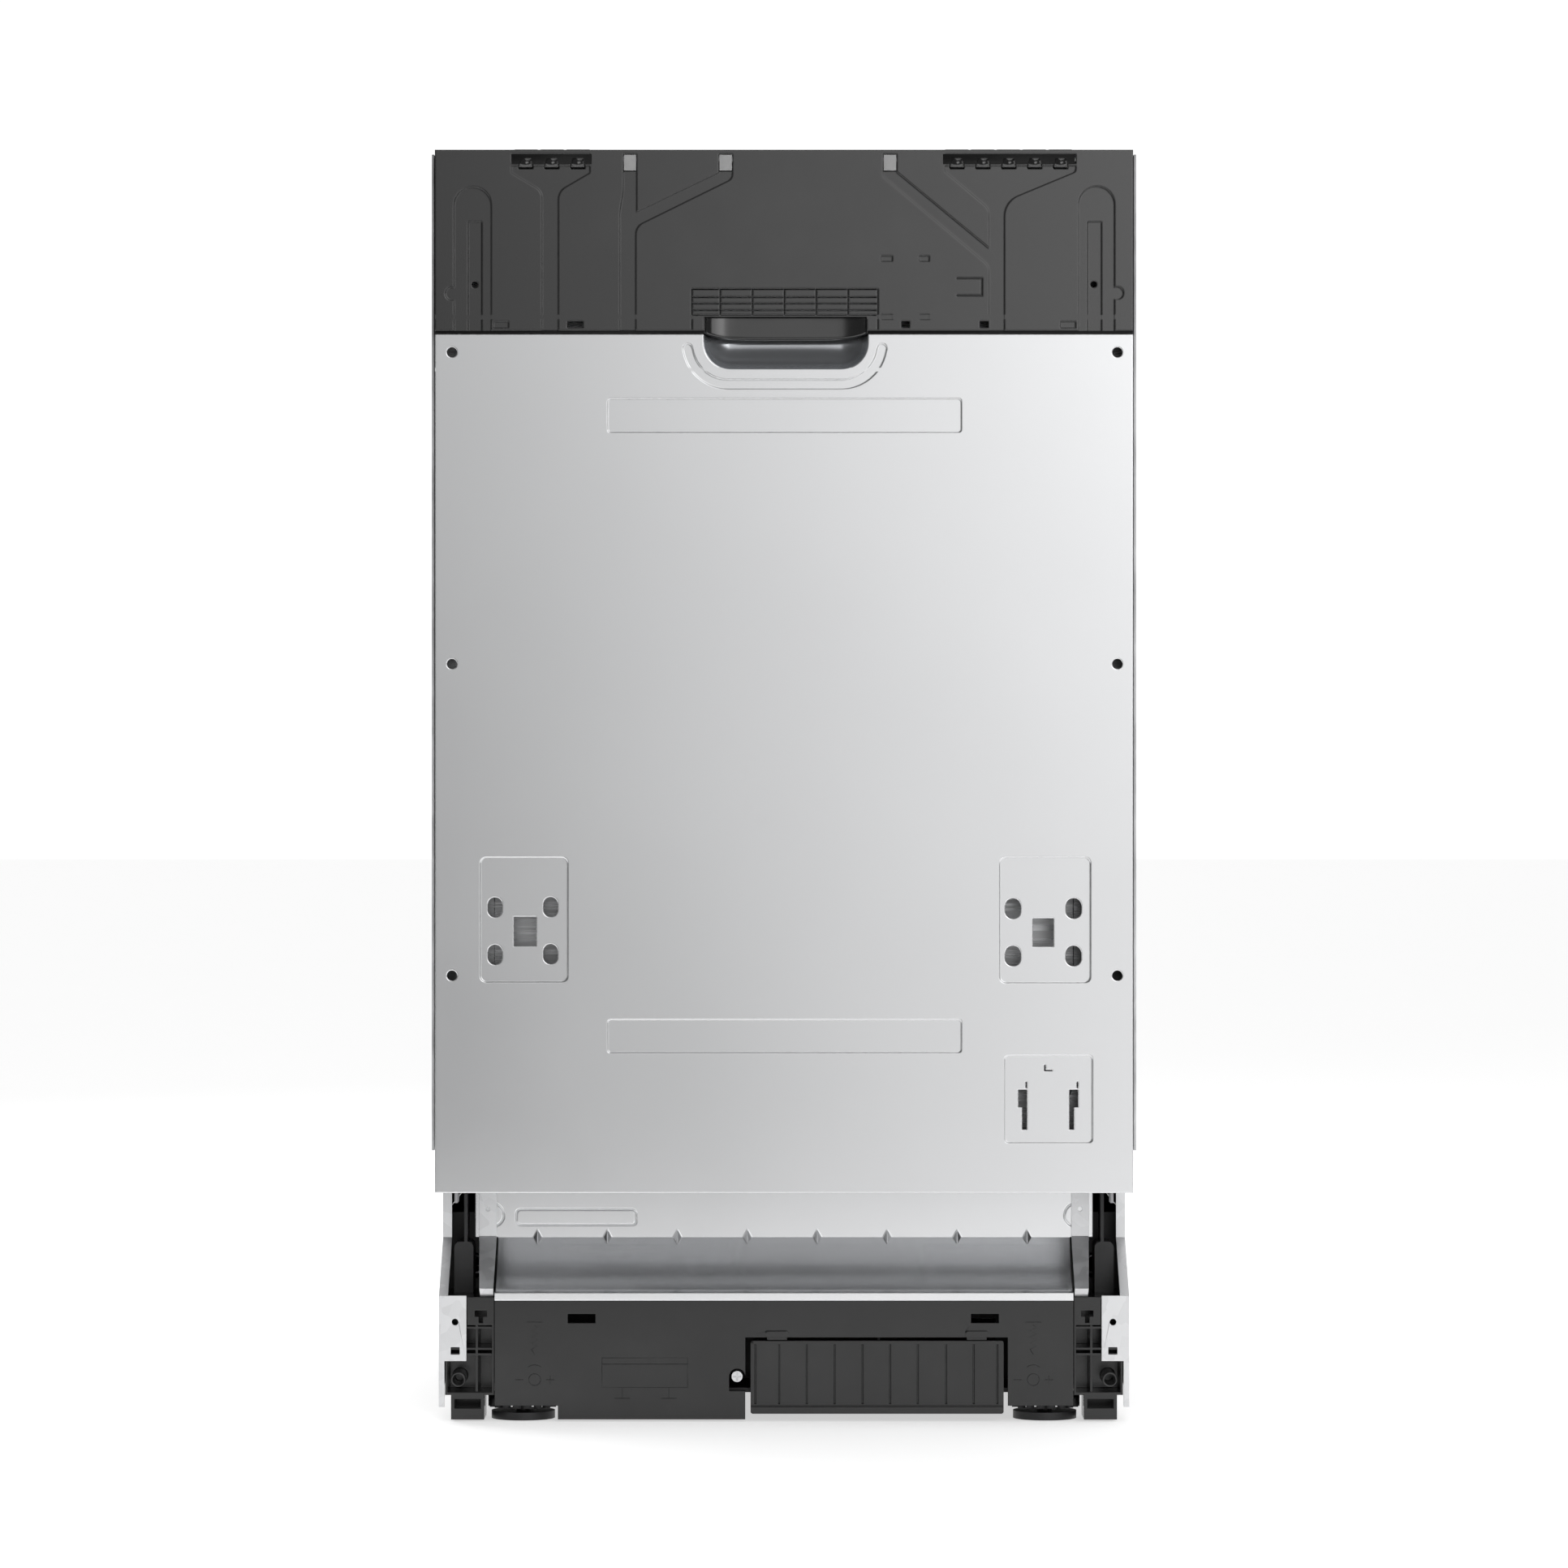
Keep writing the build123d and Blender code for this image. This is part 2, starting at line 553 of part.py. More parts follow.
def button(x):
    """One push button: its cap stands in the console's top, its tab shows in the window."""
    cap = block(x - BUTTON_WIDTH / 2, x + BUTTON_WIDTH / 2, BUTTON_FRONT, BUTTON_BACK, 811, TOP)
    cap = fillet(cap.edges().group_by(Axis.Z)[-1], 0.8)
    stem = block(x - 4, x + 4, BUTTON_FRONT + 6, BUTTON_BACK - 6, 797.6, 811)
    tab = plate_xz([(x - 5.5, 811), (x - 3.2, 804.2), (x + 3.2, 804.2), (x + 5.5, 811)],
                   FRONT + 6.5, FRONT + 9.0)
    return cap + stem + tab


# ---------------------------------------------------------------- cabinet and base

def side_frame():
    """Right side frame: rail plate, front flange that follows the kick line, and fixing bracket."""
    rail = plate_yz([(KICK_FACE, FRAME_TOP), (BODY_REAR, FRAME_TOP), (BODY_REAR, 130), (TRAY_FRONT, 130),
                     (TRAY_FRONT, 24), (BASE_FACE, 9.5), (BASE_FACE, KICK_FOOT), (KICK_FACE, KICK_BEND)],
                    BODY_HALF - SIDE_SHEET, BODY_HALF)
    upright = block(216, BODY_HALF, KICK_FACE, KICK_FACE + 1.5, KICK_BEND - 0.5, FRAME_TOP)
    slope = plate_yz([(KICK_FACE, KICK_BEND), (BASE_FACE, KICK_FOOT), (BASE_FACE, KICK_FOOT - 1.8),
                      (KICK_FACE + 1.5, KICK_BEND - 0.9)], 216, BODY_HALF)
    bracket = block(204.2, BODY_HALF, BASE_FACE, BASE_FACE + 1.5, 39, KICK_FOOT)
    leg = block(218.3, BODY_HALF, BASE_FACE, BASE_FACE + 1.5, 9.5, 39)
    frame = rail + upright + slope + bracket + leg
    frame = frame - rod_y(211.5, BASE_FACE - 1, BASE_FACE + 3, 64.1, 2.1)
    return frame - block(208.5, 214.3, BASE_FACE - 1, BASE_FACE + 3, 43.2, 47.9)


def base_corner():
    """Right front corner of the base: open moulded cell with ribs, a boss and a standing block."""
    front = BASE_FACE + 1.8
    back = -205.0
    corner = block(186.3, 218, back, back + 3, 17, 80)
    corner = corner + block(186.3, 218, front, TRAY_FRONT, 78, 80)
    corner = corner + block(186.3, 187.8, front, back, 17, 80)
    corner = corner + block(216.5, 218, front, TRAY_FRONT, 17, 80)
    corner = corner + block(186.3, 218, front, back, 17, 18.8)
    for z in (59.6, 46.0, 42.4):
        corner = corner + block(186.3, 218, front + 1, back, z, z + 1.5)
    corner = corner + block(196.9, 198.5, front + 1, back, 17, 62)
    corner = corner + block(187, 204, front, front + 1.5, 62, 80)
    corner = corner + block(192.9, 214.2, front, back + 3, 1.2, 17)
    corner = corner - block(194.9, 212.2, front + 2, back + 1, 0, 15)
    corner = corner - block(195.0, 212.0, front - 1, front + 3, 8.5, 14.5)
    corner = corner + rod_y(209.6, front, back, 27, 4.7)
    corner = corner - rod_y(209.6, front - 1, back - 2, 27, 3.5)
    corner = corner - block(191.1, 198.9, front - 1, front + 3, 67.6, 71.4)
    return corner - block(193.6, 196.4, front - 1, front + 3, 63.5, 67.7)


def dart(x):
    """A pressed stiffening dart across the kick plate's bend, with a ridge down its middle."""
    inside = KICK_FACE + 1.0
    head = (x, inside, 122.8)
    foot = (x, KICK_FACE - 5.0, 108.2)
    left = (x - 4.2, inside, 115.0)
    right = (x + 4.2, inside, 115.0)
    faces = []
    for corners in ((head, foot, left), (head, right, foot), (head, left, right), (foot, right, left)):
        faces.append(make_face(Polyline(*corners, close=True)).face())
    return Solid(Shell(faces))


def kick_plate():
    """Painted kick plate: upright top, hollow swing clearance below, darts on the bend."""
    thick = 2.0
    sag = (KICK_FACE - 21.5, 96.0)
    upper = ThreePointArc((0, KICK_FACE, KICK_BEND), (0, sag[0], sag[1]), (0, BASE_FACE + 2, 83.0))
    lower = ThreePointArc((0, BASE_FACE + 2, 81.0), (0, sag[0] + 1.2, sag[1] - 2), (0, KICK_FACE + thick, KICK_BEND))
    rim = Line((0, BASE_FACE + 2, 83.0), (0, BASE_FACE + 2, 81.0))
    cap = Line((0, KICK_FACE + thick, KICK_BEND), (0, KICK_FACE, KICK_BEND))
    curve = make_face(Wire([upper, rim, lower, cap]))
    band = extrude(curve, amount=2 * APRON_HALF, dir=(1, 0, 0)).moved(Location((-APRON_HALF, 0, 0)))
    plate = block(-KICK_HALF, KICK_HALF, KICK_FACE, KICK_FACE + thick, KICK_BEND, 150)
    plate = plate + block(-KICK_HALF, KICK_HALF, KICK_FACE, TRAY_FRONT, 148, 150) + band
    slot = rounded_xz(-174.7, -95.8, 122.5, 133.5, KICK_FACE - 1, KICK_FACE + 1.2, 3.0)
    slot = slot - rounded_xz(-173.6, -96.9, 123.6, 132.4, KICK_FACE - 2, KICK_FACE + 2, 1.9)
    plate = plate - slot
    for side in (-1, 1):
        ring = rod_y(side * 189.8, KICK_FACE - 1, KICK_FACE + 1.2, 129.5, 7.9)
        plate = plate - (ring - rod_y(side * 189.8, KICK_FACE - 2, KICK_FACE + 2, 129.5, 6.8))
    for index in range(8):
        plate = plate + dart(-160.3 + 45.5 * index)
    return plate + block(-APRON_HALF, APRON_HALF, BASE_FACE - 2, BASE_FACE + 2.5, APRON_TOP, 83.0)


def base_strap():
    """Right bright strap that ties the kick plate's top to the base lip."""
    front = KICK_FACE - 1.5
    outline = [(front, 147), (front, KICK_BEND + 1), (BASE_FACE + 0.5, 85.5), (BASE_FACE + 3.5, 80.2),
               (BASE_FACE + 5, 80.8), (BASE_FACE + 2.4, 85.9), (KICK_FACE, KICK_BEND - 0.5), (KICK_FACE, 147)]
    strap = plate_yz(outline, 187.0, 198.3)
    taper = plate_xz([(198.4, 118), (198.4, 79), (195.4, 79)], BASE_FACE - 2, KICK_FACE - 3)
    return strap - taper - rod_y(192.6, front - 1, KICK_FACE + 1, 133.5, 1.5)


def front_apron():
    """Moulded apron between the corners, with the screw arch and the cover's opening."""
    front = BASE_FACE
    back = BASE_FACE + 2.5
    apron = block(-APRON_HALF, APRON_HALF, front, back, 10.3, APRON_TOP)
    apron = apron + block(-145.4, -24.2, front, back, 1.5, 11)
    apron = apron - block(-24.9, 143.9, front - 1, back + 1, 0, 54.2)
    apron = apron - block(-35.3, -24.2, front - 1, back + 1, 19.8, 29.0)
    apron = apron - rod_y(-30.1, front - 1, back + 1, 28.9, 5.2)
    for x0, x1 in ((-139.1, -121.2), (120.2, 138.1)):
        apron = apron - block(x0, x1, front - 1, back + 1, 63.5, 69.3)
    for x0, x1 in ((-11.8, 2.8), (116.7, 131.4)):
        apron = apron + rounded_xz(x0, x1, 54.3, 58.4, front - 1.8, front, 1.2)
    for x in (-150.0, -60.0, 60.0, 150.0):
        apron = apron + block(x, x + 2, back, -228, 58, 72)
    return apron + block(-APRON_HALF, APRON_HALF, back, -228, 72, 74)


def access_cover():
    """Ribbed snap-in cover over the service opening in the apron."""
    front = BASE_FACE
    cover = rounded_xz(-21.5, 141.2, 5.1, 52.1, front, front + 2.5, 1.5)
    for x in (-18.4, -3.1, 14.6, 32.5, 50.5, 68.2, 86.0, 104.2, 121.9, 137.1):
        cover = cover - block(x - 0.6, x + 0.6, front - 1, front + 1.8, 11.5, 50)
    cover = cover - block(-21.6, 141.3, front - 1, front + 0.8, 9.6, 10.6)
    for x in (-11.0, 117.5):
        cover = cover + block(x, x + 13, front + 2.5, front + 6, 46, 56)
    return cover


def base_tray():
    """Moulded base tray: floor, walls, tub supports, foot bosses and spring posts."""
    half = BODY_HALF - SIDE_SHEET
    wall = 3.0
    tray = block(-half, half, TRAY_FRONT, BODY_REAR, TRAY_FLOOR, 130)
    tray = tray - block(-half + wall, half - wall, TRAY_FRONT + wall, BODY_REAR - wall, TRAY_FLOOR + wall, 131)
    for x in (-178.0, 178.0):
        tray = tray + block(x - 2, x + 2, TRAY_FRONT, BODY_REAR, TRAY_FLOOR, TUB_FLOOR - TUB_SHEET)
    tray = tray + block(-185, 185, -228, TRAY_FRONT, TRAY_FLOOR, TRAY_FLOOR + wall)
    tray = tray + block(-180, 180, TRAY_FRONT, TRAY_FRONT + wall, TRAY_FLOOR, 150)
    for x in (-150.0, -60.0, 60.0, 150.0):
        tray = tray + block(x, x + 2, -228, TRAY_FRONT, TRAY_FLOOR, 72)
    for side in (-1, 1):
        tray = tray + rod_z(side * FOOT_X, FOOT_Y, TRAY_FLOOR, 72, 9)
        tray = tray - rod_z(side * FOOT_X, FOOT_Y, TRAY_FLOOR - 1, 73, 5.5)
        tray = tray + block(side * 194, side * (half - 1), 1, 5, TRAY_FLOOR, 108)
        tray = tray - rod_y(side * 203, TRAY_FRONT - 1, TRAY_FRONT + 4, 95, 8.5)
    tray = tray + rod_z(REAR_FOOT_X, REAR_FOOT_Y, TRAY_FLOOR, 80, 16)
    tray = tray - rod_z(REAR_FOOT_X, REAR_FOOT_Y, TRAY_FLOOR - 1, 81, 6.4)
    tray = tray - rod_y(REAR_FOOT_X, TRAY_FRONT - 1, TRAY_FRONT + 4, ADJUSTER_Z, 4.2)
    tray = tray - block(-20, 138, TRAY_FRONT - 1, TRAY_FRONT + 4, 26, 60)
    for x, z, radius in ((-105.0, 85.0, 8.4), (-150.0, 75.0, 14.5), (150.0, 60.0, 12.0)):
        tray = tray - rod_y(x, BODY_REAR - 5, BODY_REAR + 1, z, radius)
    return tray


def side_panel():
    """Right side sheet of the cabinet, stiffened by two long beads pressed inwards."""
    outer = BODY_HALF
    panel = block(outer - 1, outer, FLANGE_FRONT + 1.5, BODY_REAR, FRAME_TOP, CABINET_TOP)
    for y0, y1 in SIDE_BEADS:
        outline = [(y0, 240), (y1, 240), (y1, 745), (y0, 745)]
        backing = [(y0 - 1, 239), (y1 + 1, 239), (y1 + 1, 746), (y0 - 1, 746)]
        panel = panel + plate_yz(backing, outer - BEAD_DEPTH - 1, outer, 15.0)
        panel = panel - plate_yz(outline, outer - BEAD_DEPTH, outer + 1, 14.0)
    return panel


def rear_panel():
    """Sheet that closes the back, with pressed beads, air slots and a turned top edge."""
    sheet = block(-BODY_HALF, BODY_HALF, BODY_REAR, BODY_REAR + SIDE_SHEET, 130, CABINET_TOP)
    lip = block(-BODY_HALF + 1, BODY_HALF - 1, BODY_REAR - 18, BODY_REAR, CABINET_TOP - SIDE_SHEET, CABINET_TOP)
    sheet = sheet + lip
    for x in REAR_BEADS:
        sheet = sheet + rounded_xz(x - 26, x + 26, 209, 751, BODY_REAR, BODY_REAR + BEAD_DEPTH + 1, 25)
        sheet = sheet - rounded_xz(x - 25, x + 25, 210, 750, BODY_REAR - 1, BODY_REAR + BEAD_DEPTH, 24)
    for x in (-150.0, -75.0, 0.0, 75.0, 150.0):
        sheet = sheet - rounded_xz(x - 20, x + 20, 150, 156, BODY_REAR - 1, BODY_REAR + 3, 2.9)
    return sheet


def top_brace():
    """Cross brace over the tub's mouth, with worktop tabs and the latch strike."""
    back = FLANGE_FRONT + FLANGE_SHEET
    brace = block(-BODY_HALF, BODY_HALF, back, -150, CABINET_TOP, CABINET_TOP + 1.5)
    brace = brace + block(-BODY_HALF, BODY_HALF, back, back + 1.5, CABINET_TOP, CABINET_TOP + 4)
    for side in (-1, 1):
        inner, outer = sorted((side * 164, side * 196))
        brace = brace + block(inner, outer, back, -168, CABINET_TOP + 4, CABINET_TOP + 5.5)
        brace = brace - rod_z(side * 180, -189, CABINET_TOP + 3, CABINET_TOP + 7, 2.75)
        brace = brace + block(inner, outer, -169.5, -168, CABINET_TOP, CABINET_TOP + 5.5)
    strike = block(-9, 9, back, back + 1.5, 800.5, CABINET_TOP)
    strike = strike + block(-9, 9, PIVOT_Y + 3, back, 801.5, 804)
    return brace + strike - block(-5, 5, PIVOT_Y + 6, PIVOT_Y + 15, 800, 806)


SOFTENER_X = 130.0
SOFTENER_Y = 130.0
LEDGE_HALF = 187.5
TROUGH_HALF = 183.5


def tub_flange():
    """The flange round the tub's mouth: two sides, a head with the strike's slot, and a foot."""
    edge = BODY_HALF - 1
    outer = TUB_HALF + TUB_SHEET
    y1 = FLANGE_FRONT + FLANGE_SHEET
    head = block(-outer, outer, FLANGE_FRONT, y1, TUB_ROOF + TUB_SHEET, CABINET_TOP)
    return [
        block(-edge, -outer, FLANGE_FRONT, y1, FRAME_TOP, CABINET_TOP),
        block(outer, edge, FLANGE_FRONT, y1, FRAME_TOP, CABINET_TOP),
        head - block(-11, 11, FLANGE_FRONT - 1, y1 + 1, 800.3, 805.3),
        block(-TUB_HALF, TUB_HALF, FLANGE_FRONT, y1, 152, TUB_FLOOR - TUB_SHEET),
    ]


def tub():
    """Stainless wash tub: sheets welded edge to edge, with runner ledges, a sump hole and a flange."""
    rear = TUB_REAR + TUB_SHEET
    floor = block(-TROUGH_HALF, TROUGH_HALF, FLANGE_FRONT, TUB_REAR, TUB_FLOOR - TUB_SHEET, TUB_FLOOR)
    floor = floor - rod_z(0, ARM_Y, TUB_FLOOR - 5, TUB_FLOOR + 5, 75.5)
    floor = floor - rod_z(SOFTENER_X, SOFTENER_Y, TUB_FLOOR - 5, TUB_FLOOR + 5, 30)
    floor = floor - rod_z(0, 240, TUB_FLOOR - 5, TUB_FLOOR + 5, 8.2)
    back = plate_xz([(-TUB_HALF, TUB_LEDGE - TUB_SHEET), (-TROUGH_HALF, TUB_FLOOR - TUB_SHEET),
                     (TROUGH_HALF, TUB_FLOOR - TUB_SHEET), (TUB_HALF, TUB_LEDGE - TUB_SHEET),
                     (TUB_HALF, TUB_ROOF), (-TUB_HALF, TUB_ROOF)], TUB_REAR, rear)
    roof = block(-TUB_HALF, TUB_HALF, FLANGE_FRONT, rear, TUB_ROOF, TUB_ROOF + TUB_SHEET)
    sheets = [floor, back, roof]
    for side in (-1, 1):
        sheets.append(block(side * TUB_HALF, side * (TUB_HALF + TUB_SHEET), FLANGE_FRONT, rear,
                            TUB_LEDGE - TUB_SHEET, TUB_ROOF + TUB_SHEET))
        sheets.append(block(side * LEDGE_HALF, side * TUB_HALF, FLANGE_FRONT, TUB_REAR,
                            TUB_LEDGE - TUB_SHEET, TUB_LEDGE))
        ramp = [(side * LEDGE_HALF, TUB_LEDGE), (side * TROUGH_HALF, TUB_FLOOR),
                (side * TROUGH_HALF, TUB_FLOOR - TUB_SHEET), (side * LEDGE_HALF, TUB_LEDGE - TUB_SHEET)]
        sheets.append(plate_xz(ramp, FLANGE_FRONT, TUB_REAR))
    return group(*sheets, *tub_flange())


def tub_gasket():
    """Door seal round the tub's mouth, with the foot seal as a second piece."""
    y0 = FLANGE_FRONT - 5.8
    arch = plate_xz([(-213, 180), (-205, 180), (-205, 791.5), (205, 791.5), (205, 180), (213, 180),
                     (213, 799.5), (-213, 799.5)], y0, FLANGE_FRONT)
    foot = block(-TUB_HALF, TUB_HALF, y0, FLANGE_FRONT, 163, 171)
    return group(arch, foot)


def trim_strip():
    """Right flexible filler strip beside the door, clipped to the side sheet."""
    lip = block(223.4, 224.9, FRONT + 10, -200, 176, 812)
    root = block(BODY_HALF, 223.5, FLANGE_FRONT + 1.5, -200, FRAME_TOP + 1, CABINET_TOP)
    return lip + root


def insulation_jacket():
    """Felt jacket over the tub's sides, roof and back."""
    outer = block(-212, 212, -205, 259, FRAME_TOP + 2, 801)
    inner = block(-204.6, 204.6, -206, TUB_REAR + TUB_SHEET + 0.1, FRAME_TOP + 1, TUB_ROOF + TUB_SHEET + 0.1)
    return outer - inner


def hinge_bracket():
    """Right fixed hinge bracket: standing foot, plate and hinge pin."""
    foot = block(201.6, 214, -200, -170, 80, 113)
    foot = fillet(foot.edges().filter_by(Axis.Y).group_by(Axis.Z)[-1], 4)
    plate = plate_yz([(-200, 80), (-170, 80), (-170, 166), (PIVOT_Y, 166), (PIVOT_Y, 150), (-200, 150)],
                     BRACKET_IN, BRACKET_OUT)
    plate = plate + rod_x(BRACKET_IN, BRACKET_OUT, PIVOT_Y, PIVOT_Z, 8)
    pin = rod_x(204.5, 212.5, PIVOT_Y, PIVOT_Z, PIN_RADIUS)
    return foot + plate + pin


def door_spring():
    """Right counterbalance spring, hooked between the hinge foot and the base tray."""
    coil = rod_y(203, -156, -14, 95, 7)
    return coil + rod_y(203, -170, -156, 95, 2) + rod_y(203, -14, 1, 95, 2)


def sump():
    """Sump bowl below the tub, with the pillar and pin for the lower spray arm."""
    bowl = rod_z(0, ARM_Y, 62, 156.5, 75) + rod_z(0, ARM_Y, 156.5, TUB_FLOOR - TUB_SHEET, 82)
    bowl = bowl - rod_z(0, ARM_Y, 65, 160, 72)
    pillar = rod_z(0, ARM_Y, 62, 171, 13) + rod_z(0, ARM_Y, 171, 180, 6)
    spigot = rod_y(-20, 95 - 6, 101, 95, 14)
    return bowl + pillar + spigot


def filter_cup():
    """Fine filter plate with the lift-out coarse cup."""
    plate = rod_z(0, ARM_Y, TUB_FLOOR - TUB_SHEET, TUB_FLOOR, 75)
    cup = rod_z(38, -12, 100, 165, 22)
    cup = cup - rod_z(38, -12, 102, 166, 20)
    plate = plate - rod_z(38, -12, 150, 170, 20)
    grip = block(34, 42, -14, -10, 163, 168) + block(16.5, 59.5, -13, -11, 161, 165)
    return plate + cup + grip - rod_z(0, ARM_Y, 150, 170, 13.3)


def circulation_pump():
    """Main pump with its motor, fed from the sump, delivering to the rear."""
    body = rod_x(-45, 20, 135, 95, 34) + rod_x(20, 78, 135, 95, 27)
    return body + rod_y(0, 160, 175, 95, 10)


def drain_pump():
    """Small drain pump on the side of the sump."""
    body = rod_x(-135, -74, ARM_Y, 85, 18)
    body = body - rod_z(0, ARM_Y, 60, 120, 75)
    return body + rod_y(-105, 30, 50, 85, 8)


def softener():
    """Water softener tank, its neck through the tub floor and its salt cap."""
    tank = block(95, 168, 60, 205, 40, 150)
    neck = rod_z(SOFTENER_X, SOFTENER_Y, 150, TUB_FLOOR, 29)
    return tank + neck + rod_z(SOFTENER_X, SOFTENER_Y, TUB_FLOOR, 168, 33)


def water_duct():
    """Water riser up the tub's back, along its roof, to the top sprinkler."""
    riser = block(-14, 14, 230, TUB_REAR, 175, TUB_ROOF)
    roof = block(-14, 14, ARM_Y + 10, 232, 777, TUB_ROOF)
    head = rod_z(0, ARM_Y, 766, TUB_ROOF, 24)
    dock = block(-20, 20, 226, 234, 488, 512)
    stub = rod_z(0, 240, 84, 178, 8) + rod_y(0, 175, 240, 95, 7)
    return riser + roof + head + dock + stub


def upper_rail():
    """Right fixed rail of the upper basket."""
    rail = block(201.5, TUB_HALF, -195, 215, 514, 536)
    for z in (514, 534.5):
        rail = rail + block(197.2, 202, -195, 215, z, z + 1.5)
    return rail


def rear_connections():
    """Inlet valve with threaded stub, drain pipe with spigot, and the mains gland."""
    valve = block(-172, -130, 215, BODY_REAR - 3, 50, 100) + rod_y(-150, BODY_REAR - 4, REAR, 75, 13.2)
    valve = valve - rod_y(-150, REAR - 12, REAR + 1, 75, 9)
    drain = rod_y(-105, 50, REAR, 85, 8) + rod_y(-105, REAR - 10, REAR - 7, 85, 10)
    gland = rod_y(150, BODY_REAR - 12, REAR - 3, 60, 11.5)
    gland = gland - rod_y(150, BODY_REAR - 13, REAR, 60, 4.5)
    return group(valve, drain, gland)


def fasteners():
    """Screws that hold the rear sheet and the side frames."""
    screws = []
    for side in (-1, 1):
        for z in (200, 480, 760):
            screws.append(rod_y(side * 214, BODY_REAR + SIDE_SHEET, BODY_REAR + SIDE_SHEET + 2, z, 3.6))
        for y in (-100, 180):
            x0, x1 = sorted((side * BODY_HALF, side * (BODY_HALF + 1.6)))
            screws.append(rod_x(x0, x1, y, 150, 3.6))
    return group(*screws)


# ---------------------------------------------------------------- wash parts

def spray_arm(z0, z1, hub0, hub1, bore, reach):
    """A two-bladed spray arm that turns on a pin."""
    blades = plate_xy_arm(reach, z0, z1)
    hub = rod_z(0, ARM_Y, hub0, hub1, 17)
    return blades + hub - bore


def plate_xy_arm(reach, z0, z1):
    """The tapered blade outline, seen from above."""
    points = [(-reach + 8, -11), (0, -17), (reach - 8, -11), (reach, 0), (reach - 8, 11), (0, 17),
              (-reach + 8, 11), (-reach, 0)]
    face = make_face(Polyline(*[(x, ARM_Y + y, z0) for x, y in points], close=True))
    return extrude(face, amount=z1 - z0, dir=(0, 0, 1))


def lower_spray_arm():
    """Lower spray arm, on the sump's pin."""
    return spray_arm(174, 182, 171.6, 184, rod_z(0, ARM_Y, 170, 180.6, 6 + RUNNING), 178)


def upper_spray_arm():
    """Upper spray arm, under the upper basket."""
    return spray_arm(480, 488, 478.5, 491, rod_z(0, ARM_Y, 480.4, 492, 6 + RUNNING), 165)


def basket(half, floor, top):
    """Five flat wire grids that make an open basket."""
    z = floor + WIRE
    return [
        grid_xy(-half, half, BASKET_FRONT, BASKET_REAR, floor, 8, 8),
        grid_yz(BASKET_FRONT, BASKET_REAR, z, top, -half, 3, 8),
        grid_yz(BASKET_FRONT, BASKET_REAR, z, top, half - WIRE, 3, 8),
        grid_xz(-half + WIRE, half - WIRE, z, top, BASKET_FRONT, 3, 8),
        grid_xz(-half + WIRE, half - WIRE, z, top, BASKET_REAR - WIRE, 3, 8),
    ]


def upper_basket():
    """Upper wire basket with its runners, rollers and the feed pipe of the upper arm."""
    solids = basket(UPPER_HALF, UPPER_FLOOR, UPPER_TOP)
    for side in (-1, 1):
        x0, x1 = sorted((side * UPPER_HALF, side * 196))
        runner = block(x0, x1, BASKET_FRONT, BASKET_REAR, 520, 530)
        for y in (-150, 195):
            r0, r1 = sorted((side * 195, side * 200))
            runner = runner + rod_x(r0, r1, y, 525, 6)
        solids.append(runner)
    feed = block(-12, 12, ARM_Y - 12, 224, 492, UPPER_FLOOR) + rod_z(0, ARM_Y, 481, UPPER_FLOOR, 6)
    solids.append(feed)
    return group(*solids)


def lower_basket():
    """Lower wire basket with its four axle brackets."""
    solids = basket(LOWER_HALF, LOWER_FLOOR, LOWER_TOP)
    for side in (-1, 1):
        for y in WHEEL_Y:
            x0, x1 = sorted((side * LOWER_HALF, side * 188))
            a0, a1 = sorted((side * 184, side * 201.5))
            bracket = block(x0, x1, y - 12, y + 12, 180, 212) + rod_x(a0, a1, y, WHEEL_Z, 3)
            solids.append(bracket)
    return group(*solids)


def wheel(side, y):
    """One basket wheel."""
    x0, x1 = sorted((side * 190, side * 200))
    tyre = rod_x(x0, x1, y, WHEEL_Z, WHEEL_RADIUS)
    return tyre - rod_x(x0 - 1, x1 + 1, y, WHEEL_Z, 3 + RUNNING)


def cutlery_basket():
    """Cutlery basket: open box with two cells and a carrying bridge."""
    z0 = LOWER_FLOOR + WIRE
    box = block(-170, -92, -150, 10, z0, 300)
    for y0, y1 in ((-148, -71), (-69, 8)):
        box = box - block(-168, -94, y0, y1, z0 + 2, 301)
    handle = block(-168, -94, -71, -69, 299, 318)
    return box + handle - block(-150, -112, -72, -68, 304, 313)


# ---------------------------------------------------------------- feet

def front_foot(side):
    """One front levelling foot."""
    disc = rod_z(side * FOOT_X, FOOT_Y, 0, 5, 20.5)
    return disc + rod_z(side * FOOT_X, FOOT_Y, 5, 66, 5) + Pos(side * FOOT_X, FOOT_Y, 8) * extrude(
        RegularPolygon(9, 6), amount=8)


def rear_foot():
    """The rear levelling foot, driven from the front."""
    return rod_z(REAR_FOOT_X, REAR_FOOT_Y, 0, 5, 20) + rod_z(REAR_FOOT_X, REAR_FOOT_Y, 5, 74, 6)


def foot_adjuster():
    """Long shaft from the front screw head back to the rear foot."""
    head = rod_y(REAR_FOOT_X, BASE_FACE - 0.5, BASE_FACE + 5, ADJUSTER_Z, 3.5)
    head = head - block(REAR_FOOT_X - 0.5, REAR_FOOT_X + 0.5, BASE_FACE - 1, BASE_FACE + 0.8,
                        ADJUSTER_Z - 2.8, ADJUSTER_Z + 2.8)
    head = head - block(REAR_FOOT_X - 2.8, REAR_FOOT_X + 2.8, BASE_FACE - 1, BASE_FACE + 0.8,
                        ADJUSTER_Z - 0.5, ADJUSTER_Z + 0.5)
    return head + rod_y(REAR_FOOT_X, BASE_FACE + 5, REAR_FOOT_Y - 17, ADJUSTER_Z, 3)


